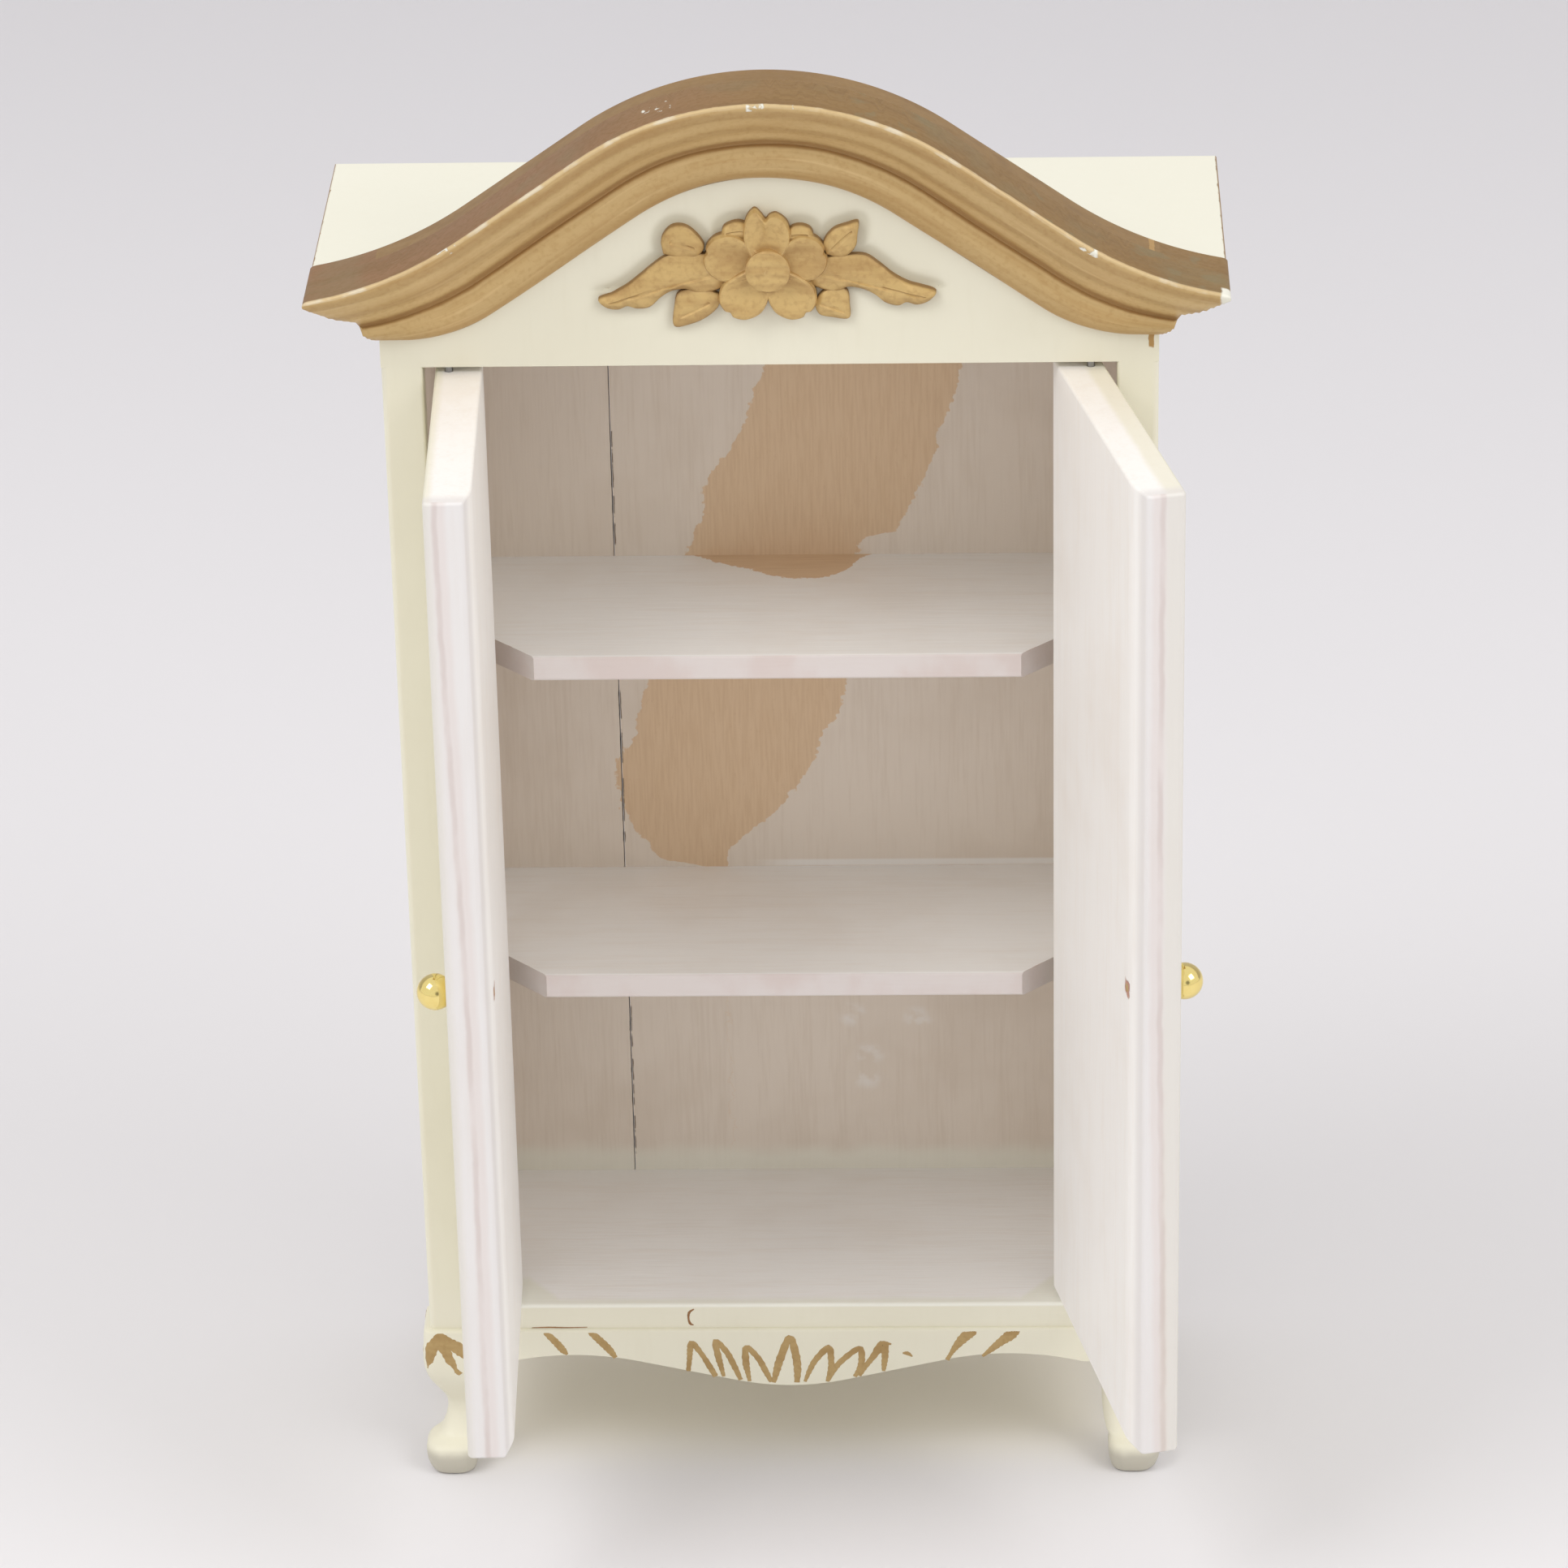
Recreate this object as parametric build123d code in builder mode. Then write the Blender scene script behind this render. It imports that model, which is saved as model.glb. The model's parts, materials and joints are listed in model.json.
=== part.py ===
"""Dolls' house armoire at 1:12, with two doors on pins, shelves and cabriole legs.

Units are millimetres and +Z is up. The front faces -Y, and y = 0 is the front of
the face frame. The origin is on the ground, midway between the sides. The doors
stand open, as the rest pose.
"""

from build123d import *
from math import cos, radians, sin, sqrt
import os

os.makedirs("parts", exist_ok=True)

# Boards
stock = 3.2                 # thickness of the boards
carcass_width = 89.6
stile_width = 4.8
inner_depth = 33.0          # front of the face frame to the inner face of the back
back_thickness = 2.2
back_joint_x = -20.5        # where the two back boards meet
back_joint_gap = 0.15
edge_round = 0.35           # sanded edges of painted boards
corner_round = 0.7          # outer corners of the face frame

# Heights above the ground
base_top = 20.4             # underside of the carcass
floor_thickness = 3.4
opening_top = 150.3
lower_shelf_top = 67.7
upper_shelf_top = 110.7

# Shelves
shelf_front_y = 4.9
shelf_corner = 12.7         # cut off each front corner

# Arched cornice: each arch is a crown arc, a straight flank and a sweeping foot
overhang = 7.9
flank_slope = 35.0
tip_slope = 9.8             # slope left at the tips of the top arch
arch_apex = 185.2
crown_radius = 36.7
sweep_radius = 45.1
groove_drop = 6.2           # apex of the groove below the apex of the top arch
groove_crown_radius = 30.5
groove_sweep_radius = 34.0
lower_drop = 11.8           # apex of the lower edge below the apex of the top arch
lower_crown_radius = 26.0
lower_sweep_radius = 18.2
lower_end_z = 153.8         # level ends of the lower edge
lower_member = 2.0          # projection of the member under the groove
upper_round = 4.4
lower_round = 1.6
small_bulge = (1.4, 0.9)    # on the smaller member's round: out from the carcass, up from its foot
large_bulge = (6.0, 1.9)    # on the upper member's round: out from the carcass, up from the groove
groove_step = (0.3, 0.4)    # width and drop of the step between the two members
rim_height = 0.7            # upright rim above the upper member's round
board_setback = 0.2         # sides of the top board, inside the tips of the cornice

# Doors
door_thickness = 5.4
door_proud = 0.8            # outer face in front of the face frame
door_bottom = 24.5
door_top = 149.5
hinge_gap = 0.35
pin_inset = 3.0             # pin axis from the edge of the opening
pin_behind_face = 1.6       # pin axis from the door's outer face
meeting_gap = 0.15          # half of the gap between the closed doors
hinge_corner_round = 0.8
free_corner_round = 0.7
free_bevel_length = 3.6
free_bevel_depth = 0.9
free_bevel_round = 7.0      # where the bevel runs into the inner face
free_nose_round = 0.6       # where it meets the free edge
left_open_angle = 88.3
right_open_angle = 103.2
panel_margin = 5.4          # routed line, from the edges of the door
panel_arch_rise = 6.0
panel_line_width = 1.0
panel_line_depth = 0.5

# Hinge pins
pin_radius = 0.45
pin_clearance = 0.05
pin_in_door = 3.5
pin_in_frame = 3.0
pin_end_gap = 0.3

# Knobs
knob_height = 85.6
knob_from_free_edge = 4.5
knob_radius = 2.15
knob_centre = 1.45          # ball centre in front of the door's face, on a flat seat
shank_radius = 0.5

# Base
apron_proud = 0.5
apron_ledge_round = 0.4
apron_low_z = 12.3
apron_low_radius = 30.0
apron_rise_angle = 13.0
apron_rise_length = 12.6
apron_peak_radius = 35.6
apron_fall_angle = 28.0
side_apron_low = 14.8
side_apron_rise = 1.8
leg_top_size = 7.2
leg_proud = 0.8
leg_sections = (            # height, proud at the side, proud in front, width, corner radius
    (0.0, 0.4, 1.7, 5.2, 1.8),
    (0.6, 0.9, 2.2, 6.0, 2.1),
    (1.8, 1.1, 2.4, 6.4, 2.2),
    (3.0, 1.1, 2.4, 6.4, 2.2),
    (4.0, 0.8, 2.0, 6.0, 2.1),
    (5.0, 0.0, 1.0, 5.4, 2.0),
    (6.4, -1.2, -0.3, 4.8, 1.8),
    (8.0, -1.6, -0.9, 4.5, 1.6),
    (9.6, -1.4, -0.7, 4.7, 1.6),
    (11.4, -0.5, 0.2, 5.5, 1.7),
    (13.0, 0.4, 1.0, 6.5, 1.8),
    (14.6, 0.9, 1.4, 7.2, 1.8),
    (16.4, 1.0, 1.4, 7.4, 1.7),
    (18.4, 0.9, 1.1, 7.3, 1.4),
    (base_top, leg_proud, leg_proud, leg_top_size, 1.2),
)

# Carved spray
spray_z = 162.7
petal_count = 5
petal_reach = 4.5
petal_length = 5.8
petal_width = 5.6
petal_height = 1.5
button_radius = 2.6
button_height = 2.2
button_round = 0.65
leaf_height = 1.0
leaf_root_x = 6.0
leaf_root_half = 2.6
leaf_shoulder_x = 12.5
leaf_belly_x = 14.5
leaf_belly_drop = 5.0
leaf_tip_x = 19.2
leaf_tip_drop = 3.5
small_leaf_x = 8.8
small_leaf_rise = 3.9
small_leaf_length = 5.4
small_leaf_width = 3.6
small_leaf_tilt = 35

# Worked out from the driving dimensions
half_width = carcass_width / 2
opening_half = half_width - stile_width
inner_half = half_width - stock
cornice_half = half_width + overhang
floor_top = base_top + floor_thickness
back_y = inner_depth + back_thickness
slope_sin = sin(radians(flank_slope))
slope_cos = cos(radians(flank_slope))
tip_sin = sin(radians(tip_slope))
tip_cos = cos(radians(tip_slope))
top_flank = (cornice_half - crown_radius * slope_sin
             - sweep_radius * (slope_sin - tip_sin)) / slope_cos
top_fall = (crown_radius * (1 - slope_cos) + top_flank * slope_sin
            + sweep_radius * (tip_cos - slope_cos))
groove_flank = (cornice_half / slope_cos
                - (groove_crown_radius + groove_sweep_radius) * slope_sin / slope_cos)
groove_fall = ((groove_crown_radius + groove_sweep_radius) * (1 - slope_cos)
               + groove_flank * slope_sin)
lower_flank = (arch_apex - lower_drop - lower_end_z
               - (lower_crown_radius + lower_sweep_radius) * (1 - slope_cos)) / slope_sin
top_arch = (arch_apex, crown_radius, top_flank, sweep_radius, flank_slope - tip_slope)
groove_arch = (arch_apex - groove_drop, groove_crown_radius, groove_flank,
               groove_sweep_radius, flank_slope)
lower_arch = (arch_apex - lower_drop, lower_crown_radius, lower_flank,
              lower_sweep_radius, flank_slope)
board_top = arch_apex - top_fall
board_bottom = board_top - stock
groove_end_z = arch_apex - groove_drop - groove_fall
member_x = half_width + lower_member
outer_face_y = -door_proud
pin_x = opening_half - pin_inset
pin_y = outer_face_y + pin_behind_face
hinge_reach = pin_inset - hinge_gap
free_reach = opening_half - meeting_gap - pin_inset
door_height = door_top - door_bottom
knob_reach = free_reach - knob_from_free_edge
apron_half = half_width + leg_proud - leg_top_size
sides = {"left": -1, "right": 1}
open_angles = {"left": left_open_angle, "right": right_open_angle}


def half_arch(arch):
    """Draw the right half of an arch and return its foot."""
    apex_z, crown, flank, sweep, sweep_angle = arch
    top = JernArc((0, apex_z), (1, 0), crown, -flank_slope)
    side = PolarLine(top @ 1, flank, direction=top % 1)
    foot = JernArc(side @ 1, side % 1, sweep, sweep_angle)
    return foot


def under_arch(arch, low_z, half):
    """Upright region under an arch, down to low_z and out to half each way."""
    with BuildSketch(Plane.XZ) as region:
        with BuildLine():
            foot = half_arch(arch)
            level = Line(foot @ 1, (cornice_half + stock, (foot @ 1).Y))
            drop = Line(level @ 1, (cornice_half + stock, low_z))
            Line(drop @ 1, (0, low_z))
            mirror(about=Plane.YZ)
        make_face()
        with Locations((0, low_z + arch_apex / 2)):
            Rectangle(2 * half, arch_apex, mode=Mode.INTERSECT)
    return region.sketch


# Carcass boards

def side_panel(name, side):
    """Side of the carcass, behind the face frame."""
    with BuildPart() as panel:
        with BuildSketch(Plane.XY.offset(base_top)):
            with Locations((side * (half_width - stock / 2), (stock + back_y) / 2)):
                Rectangle(stock, back_y - stock)
        extrude(amount=board_bottom - base_top)
    panel.part.label = f"{name}_side_panel"
    export_step(panel.part, f"parts/{name}_side_panel.step")


def back_board(name, low_x, high_x):
    """One of the two upright boards of the back."""
    with BuildPart() as board:
        with BuildSketch(Plane.XY.offset(base_top)):
            with Locations(((low_x + high_x) / 2, inner_depth + back_thickness / 2)):
                Rectangle(high_x - low_x, back_thickness)
        extrude(amount=board_bottom - base_top)
    board.part.label = name
    export_step(board.part, f"parts/{name}.step")


def shelf(name, top_z):
    """Loose-cornered shelf between the side panels."""
    with BuildPart() as board:
        with BuildSketch(Plane.XY.offset(top_z - stock)):
            with Locations((0, (shelf_front_y + inner_depth) / 2)):
                Rectangle(2 * inner_half, inner_depth - shelf_front_y)
            front_corners = vertices().group_by(Axis.Y)[0]
            chamfer(front_corners, shelf_corner)
        extrude(amount=stock)
        front = faces().sort_by(Axis.Y)[0]
        fillet(front.edges().filter_by(Axis.X), edge_round)
    board.part.label = name
    export_step(board.part, f"parts/{name}.step")


for name, side in sides.items():
    side_panel(name, side)
back_board("back_board_narrow", -inner_half, back_joint_x - back_joint_gap)
back_board("back_board_wide", back_joint_x, inner_half)
shelf("lower_shelf", lower_shelf_top)
shelf("upper_shelf", upper_shelf_top)

with BuildPart() as floor_board:
    with BuildSketch(Plane.XY.offset(base_top)):
        with Locations((0, (stock + inner_depth) / 2)):
            Rectangle(2 * inner_half, inner_depth - stock)
        with Locations((0, stock / 2)):
            Rectangle(2 * opening_half, stock)
    extrude(amount=floor_thickness)
    floor_nose = faces().sort_by(Axis.Y)[0].edges().filter_by(Axis.X).sort_by(Axis.Z)[-1]
    fillet(floor_nose, edge_round)
    with BuildSketch(Plane.XY.offset(floor_top - pin_in_frame)):
        with Locations((-pin_x, pin_y), (pin_x, pin_y)):
            Circle(pin_radius)
    extrude(amount=floor_thickness, mode=Mode.SUBTRACT)
floor_board.part.label = "floor_board"
export_step(floor_board.part, "parts/floor_board.step")

with BuildPart() as top_board:
    with BuildSketch(Plane.XY.offset(board_bottom)):
        with Locations((0, (stock + back_y) / 2)):
            Rectangle(2 * (cornice_half - board_setback), back_y - stock)
    extrude(amount=stock)
    top_face = faces().sort_by(Axis.Z)[-1]
    fillet(top_face.edges() - top_face.edges().group_by(Axis.Y)[0], edge_round)
top_board.part.label = "top_board"
export_step(top_board.part, "parts/top_board.step")


# Face frame

def stile(name, side):
    """Upright of the face frame, rounded down its outer corner."""
    with BuildPart() as upright:
        with BuildSketch(Plane.XY.offset(base_top)):
            with Locations((side * (half_width - stile_width / 2), stock / 2)):
                Rectangle(stile_width, stock)
        extrude(amount=opening_top - base_top)
        corners = edges().filter_by(Axis.Z).group_by(Axis.Y)[0]
        fillet(corners.sort_by(Axis.X, reverse=side > 0)[0], corner_round)
        fillet(edges().filter_by(Axis.Z).group_by(Axis.Y)[0], edge_round)
    upright.part.label = f"{name}_stile"
    export_step(upright.part, f"parts/{name}_stile.step")


for name, side in sides.items():
    stile(name, side)

with BuildPart() as pediment_board:
    extrude(under_arch(top_arch, opening_top, half_width), amount=-stock)
    with BuildSketch(Plane.XY.offset(opening_top)):
        with Locations((-pin_x, pin_y), (pin_x, pin_y)):
            Circle(pin_radius)
    extrude(amount=pin_in_frame, mode=Mode.SUBTRACT)
pediment_board.part.label = "pediment_board"
export_step(pediment_board.part, "parts/pediment_board.step")


# Cornice: an upper member over a smaller one, both rounded underneath

def inside_ends(edge):
    """True for an edge that isn't on an end of the cornice."""
    return abs(edge.center().X) < half_width


with BuildPart() as upper_member:
    extrude(under_arch(top_arch, lower_end_z, cornice_half), amount=overhang)
    extrude(under_arch(groove_arch, lower_end_z - stock, cornice_half + stock),
            amount=overhang, mode=Mode.SUBTRACT)
    front_cuts = edges(Select.LAST).group_by(Axis.Y)[0]
    fillet(front_cuts.filter_by(inside_ends), upper_round)

with BuildPart() as smaller_member:
    extrude(under_arch(groove_arch, lower_end_z - stock, member_x), amount=lower_member)
    extrude(under_arch(lower_arch, lower_end_z - 2 * stock, cornice_half),
            amount=lower_member, mode=Mode.SUBTRACT)
    front_cuts = edges(Select.LAST).group_by(Axis.Y)[0]
    fillet(front_cuts.filter_by(inside_ends), lower_round)

# Profile of the cornice where it turns the corner, filled out to the middle
with BuildSketch(Plane.XZ) as return_profile:
    with BuildLine():
        level = Line((0, lower_end_z), (half_width, lower_end_z))
        small = ThreePointArc(level @ 1, Vector(half_width, lower_end_z) + Vector(*small_bulge),
                              (member_x, groove_end_z - groove_step[1]))
        step = Line(small @ 1, (member_x + groove_step[0], groove_end_z))
        large = ThreePointArc(step @ 1, Vector(half_width, groove_end_z) + Vector(*large_bulge),
                              (cornice_half, board_top - rim_height))
        rim = Line(large @ 1, (cornice_half, arch_apex))
        Line(rim @ 1, (0, arch_apex))
        mirror(about=Plane.YZ)
    make_face()

with BuildPart() as arched_cornice:
    add(upper_member.part)
    add(smaller_member.part)
    with BuildSketch(Plane.XZ) as ears:
        for side in sides.values():
            with Locations((side * (half_width + overhang / 2), (lower_end_z + board_top) / 2)):
                Rectangle(overhang, board_top - lower_end_z)
    extrude(amount=-stock)
    extrude(return_profile.sketch, amount=overhang, both=True, mode=Mode.INTERSECT)
arched_cornice.part.label = "arched_cornice"
export_step(arched_cornice.part, "parts/arched_cornice.step")


def cornice_return(name, side):
    """Straight moulding under the side of the top board."""
    with BuildPart() as moulding:
        extrude(return_profile.sketch, amount=-back_y)
        length = back_y - stock
        with BuildSketch(Plane.XZ.offset(-stock)):
            with Locations((side * (half_width + overhang / 2),
                            (lower_end_z + board_bottom) / 2)):
                Rectangle(overhang, board_bottom - lower_end_z)
        extrude(amount=-length, mode=Mode.INTERSECT)
    moulding.part.label = f"{name}_cornice_return"
    export_step(moulding.part, f"parts/{name}_cornice_return.step")


for name, side in sides.items():
    cornice_return(name, side)

# Carved spray in the pediment: five petals round a button, leaves each side

with BuildPart() as carved_spray:
    with BuildSketch(Plane.XZ):
        with Locations((0, spray_z)):
            with PolarLocations(petal_reach, petal_count, start_angle=90):
                Ellipse(petal_length / 2, petal_width / 2)
    extrude(amount=petal_height)
    with BuildSketch(Plane.XZ):
        for side in sides.values():
            with BuildLine():
                tip = (side * leaf_tip_x, spray_z - leaf_tip_drop)
                upper = ThreePointArc((side * leaf_root_x, spray_z + leaf_root_half),
                                      (side * leaf_shoulder_x, spray_z + leaf_root_half / 2), tip)
                lower = ThreePointArc(upper @ 1, (side * leaf_belly_x, spray_z - leaf_belly_drop),
                                      (side * leaf_root_x, spray_z - leaf_root_half))
                Line(lower @ 1, upper @ 0)
            make_face()
            with Locations((side * small_leaf_x, spray_z + small_leaf_rise)):
                Ellipse(small_leaf_length / 2, small_leaf_width / 2,
                        rotation=side * small_leaf_tilt)
            with Locations((side * small_leaf_x, spray_z - small_leaf_rise)):
                Ellipse(small_leaf_length / 2, small_leaf_width / 2,
                        rotation=-side * small_leaf_tilt)
    extrude(amount=leaf_height)
    with BuildSketch(Plane.XZ):
        with Locations((0, spray_z)):
            Circle(button_radius)
    extrude(amount=button_height)
    fillet(faces().sort_by(Axis.Y)[0].edges(), button_round)
carved_spray.part.label = "carved_spray"
export_step(carved_spray.part, "parts/carved_spray.step")


# Base: aprons between four cabriole legs

with BuildPart() as front_apron:
    with BuildSketch(Plane.XZ.offset(apron_proud)):
        with BuildLine():
            low = JernArc((0, apron_low_z), (1, 0), apron_low_radius, apron_rise_angle)
            rise = PolarLine(low @ 1, apron_rise_length, direction=low % 1)
            peak = JernArc(rise @ 1, rise % 1, apron_peak_radius, -apron_fall_angle)
            end = Line(peak @ 1, (apron_half, (peak @ 1).Y))
            up = Line(end @ 1, (apron_half, base_top))
            Line(up @ 1, (0, base_top))
            mirror(about=Plane.YZ)
        make_face()
    extrude(amount=-stock)
    front = faces().sort_by(Axis.Y)[0]
    fillet(front.edges().group_by(Axis.Z)[-1], apron_ledge_round)
front_apron.part.label = "front_apron"
export_step(front_apron.part, "parts/front_apron.step")


def side_apron(name, side):
    """Side rail of the base, hollowed by a shallow arch underneath."""
    front_end = leg_top_size - leg_proud
    rear_end = back_y - front_end
    middle = (front_end + rear_end) / 2
    with BuildPart() as rail:
        with BuildSketch(Plane.YZ.offset(side * (half_width - stock / 2) - stock / 2)):
            with BuildLine():
                arch = ThreePointArc((front_end, side_apron_low),
                                     (middle, side_apron_low + side_apron_rise),
                                     (rear_end, side_apron_low))
                Polyline(arch @ 1, (rear_end, base_top), (front_end, base_top), arch @ 0)
            make_face()
        extrude(amount=stock)
    rail.part.label = f"{name}_apron"
    export_step(rail.part, f"parts/{name}_apron.step")


for name, side in sides.items():
    side_apron(name, side)

with BuildPart() as back_apron:
    with BuildSketch(Plane.XZ.offset(-back_y)):
        with Locations((0, (side_apron_low + base_top) / 2)):
            Rectangle(2 * apron_half, base_top - side_apron_low)
    extrude(amount=stock)
back_apron.part.label = "back_apron"
export_step(back_apron.part, "parts/back_apron.step")


def cabriole_leg(name, side, facing):
    """Leg with a knee and a pad foot, splayed towards its corner of the carcass.

    facing is -1 at the front and 1 at the back. A front leg reaches further
    forwards than sideways, and a rear leg reaches as far back as sideways, so
    that the armoire stands near a wall.
    """
    corner_y = 0 if facing < 0 else back_y
    with BuildPart() as leg:
        for height, out, forwards, width, corner in leg_sections:
            reach = forwards if facing < 0 else out
            with BuildSketch(Plane.XY.offset(height)):
                with Locations((side * (half_width + out - width / 2),
                                corner_y + facing * (reach - width / 2))):
                    RectangleRounded(width, width, corner)
        loft(ruled=True)
    leg.part.label = f"{name}_leg"
    export_step(leg.part, f"parts/{name}_leg.step")


for name, side in sides.items():
    cabriole_leg(f"front_{name}", side, -1)
    cabriole_leg(f"rear_{name}", side, 1)


# Doors, each drawn in its own upright plane, then standing open on its pins

def door_frame(name, side, height):
    """Level plane on the pin axis, with x towards the free edge of the open door."""
    angle = radians(open_angles[name])
    return Plane(origin=(side * pin_x, pin_y, height),
                 x_dir=(-side * cos(angle), -sin(angle), 0), z_dir=(0, 0, 1))


def outer_face(name, side):
    """Upright plane of the door's outer face: x towards the free edge, z outwards."""
    level = door_frame(name, side, door_bottom)
    outward = level.y_dir * side
    return Plane(origin=level.origin + outward * pin_behind_face,
                 x_dir=level.x_dir * side * -1, z_dir=outward)


def door(name, side):
    """Door leaf with a routed panel line outside and a worn bevel inside."""
    inside = door_thickness - pin_behind_face
    face = outer_face(name, side)
    middle_x = -side * (free_reach - hinge_reach) / 2
    panel_half = (free_reach + hinge_reach) / 2 - panel_margin
    shoulder = door_height - panel_margin - panel_arch_rise
    with BuildPart() as leaf:
        with BuildSketch(door_frame(name, side, door_bottom)):
            with BuildLine():
                Polyline((-hinge_reach, side * pin_behind_face),
                         (free_reach, side * pin_behind_face),
                         (free_reach, -side * (inside - free_bevel_depth)),
                         (free_reach - free_bevel_length, -side * inside),
                         (-hinge_reach, -side * inside), close=True)
            make_face()
            hinge_corners = vertices().group_by(Axis.X)[0]
            fillet(hinge_corners.sort_by(Axis.Y, reverse=side > 0)[0], hinge_corner_round)
            free_corners = vertices().group_by(Axis.X)[-1]
            fillet(free_corners.sort_by(Axis.Y, reverse=side > 0)[0], free_corner_round)
            nose = vertices().group_by(Axis.X)[-1].sort_by(Axis.Y, reverse=side > 0)[-1]
            fillet(nose, free_nose_round)
            bevel_end = vertices().sort_by_distance((free_reach - free_bevel_length, -side * inside))
            fillet(bevel_end[0], free_bevel_round)
        extrude(amount=door_height)
        fillet(edges().group_by(Axis.Z)[0] + edges().group_by(Axis.Z)[-1], edge_round)
        for height, depth in ((door_bottom, pin_in_door), (door_top, -pin_in_door)):
            with BuildSketch(door_frame(name, side, height)):
                Circle(pin_radius + pin_clearance)
            extrude(amount=depth, mode=Mode.SUBTRACT)
        with BuildSketch(face):
            with BuildLine():
                low = Line((middle_x - panel_half, panel_margin),
                           (middle_x + panel_half, panel_margin))
                up = Line(low @ 1, (middle_x + panel_half, shoulder))
                arch = ThreePointArc(up @ 1, (middle_x, shoulder + panel_arch_rise),
                                     (middle_x - panel_half, shoulder))
                Line(arch @ 1, low @ 0)
            make_face()
            offset(amount=-panel_line_width, mode=Mode.SUBTRACT)
        extrude(amount=-panel_line_depth, mode=Mode.SUBTRACT)
        with BuildSketch(face):
            with Locations((-side * knob_reach, knob_height - door_bottom)):
                Circle(shank_radius)
        extrude(amount=-door_thickness, mode=Mode.SUBTRACT)
    leaf.part.label = f"{name}_door"
    export_step(leaf.part, f"parts/{name}_door.step")


def knob(name, side):
    """Ball knob with a flat seat and a shank through the door."""
    face = outer_face(name, side)
    origin = face.from_local_coords(Vector(-side * knob_reach, knob_height - door_bottom, 0))
    section = Plane(origin=origin, x_dir=face.z_dir, z_dir=face.x_dir * -1)
    seat_radius = sqrt(knob_radius**2 - knob_centre**2)
    with BuildPart() as turning:
        with BuildSketch(section):
            with BuildLine():
                stem = Polyline((-door_thickness, 0), (-door_thickness, shank_radius),
                                (0, shank_radius), (0, seat_radius))
                ball = ThreePointArc(stem @ 1, (knob_centre, knob_radius),
                                     (knob_centre + knob_radius, 0))
                Line(ball @ 1, stem @ 0)
            make_face()
        revolve(axis=Axis(origin, face.z_dir))
    turning.part.label = f"{name}_knob"
    export_step(turning.part, f"parts/{name}_knob.step")


for name, side in sides.items():
    door(name, side)
    knob(name, side)

with BuildPart() as hinge_pins:
    for low_z, high_z in ((floor_top - pin_in_frame, door_bottom + pin_in_door - pin_end_gap),
                          (door_top - pin_in_door + pin_end_gap, opening_top + pin_in_frame)):
        with BuildSketch(Plane.XY.offset(low_z)):
            with Locations((-pin_x, pin_y), (pin_x, pin_y)):
                Circle(pin_radius)
        extrude(amount=high_z - low_z)
hinge_pins.part.label = "hinge_pins"
export_step(hinge_pins.part, "parts/hinge_pins.step")
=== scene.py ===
"""Looks of the dolls' house armoire: painted boards, gilded carving and brass knobs.

Lengths in the tables below are in millimetres, in the frame of the CAD model: +Z is
up, the front faces -Y, and y = 0 is the front of the face frame.
"""

import json
import math

import bmesh
import bpy
import numpy as np
from mathutils import Matrix, Vector


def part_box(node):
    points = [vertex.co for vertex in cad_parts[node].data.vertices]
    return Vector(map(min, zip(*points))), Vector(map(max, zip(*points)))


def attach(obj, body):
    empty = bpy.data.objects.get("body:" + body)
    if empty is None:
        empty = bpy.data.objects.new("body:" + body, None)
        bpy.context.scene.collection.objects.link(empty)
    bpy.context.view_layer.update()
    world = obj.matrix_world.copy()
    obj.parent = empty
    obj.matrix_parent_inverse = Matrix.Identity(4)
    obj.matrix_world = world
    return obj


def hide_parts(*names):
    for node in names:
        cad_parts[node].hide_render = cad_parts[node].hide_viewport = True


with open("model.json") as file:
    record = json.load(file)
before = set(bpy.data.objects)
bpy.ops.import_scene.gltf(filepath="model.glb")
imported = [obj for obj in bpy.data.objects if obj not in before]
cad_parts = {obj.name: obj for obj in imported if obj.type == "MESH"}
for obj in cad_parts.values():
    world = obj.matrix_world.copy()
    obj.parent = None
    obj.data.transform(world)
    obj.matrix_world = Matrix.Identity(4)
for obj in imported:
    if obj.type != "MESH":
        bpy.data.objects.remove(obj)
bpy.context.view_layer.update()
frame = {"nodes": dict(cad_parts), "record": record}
nodes = frame["nodes"]
MM = 0.001


def box_mm(node):
    """Lowest and highest corners of a CAD node, in millimetres."""
    low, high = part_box(node)
    return np.array(low) / MM, np.array(high) / MM


# Sizes worked out from the frame

cornice_low, cornice_high = box_mm("arched_cornice")
pediment_low, pediment_high = box_mm("pediment_board")
apron_low, apron_high = box_mm("front_apron")
floor_low, floor_high = box_mm("floor_board")
back_low, back_high = box_mm("back_board_wide")
knob_low, knob_high = box_mm("left_knob")
top_high = box_mm("top_board")[1]
half_width = box_mm("right_stile")[1][0]
lower_shelf_top = box_mm("lower_shelf")[1][2]
rear_leg_back = box_mm("rear_left_leg")[1][1]
stock = pediment_high[1]
opening_top = pediment_low[2]
cornice_half = cornice_high[0]
apex = cornice_high[2]
member_low = cornice_low[2]
board_top = top_high[2]
back_joint = back_low[0]
knob_height = (knob_low[2] + knob_high[2]) / 2
DOOR_FACE = 1.6              # the door's outer and inner faces, outwards of its pin
DOOR_INNER = -3.8
FREE_EDGE = 36.85            # its free edge and its knob, away from its pin
KNOB_REACH = 32.35


# Camera, light and floor

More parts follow.
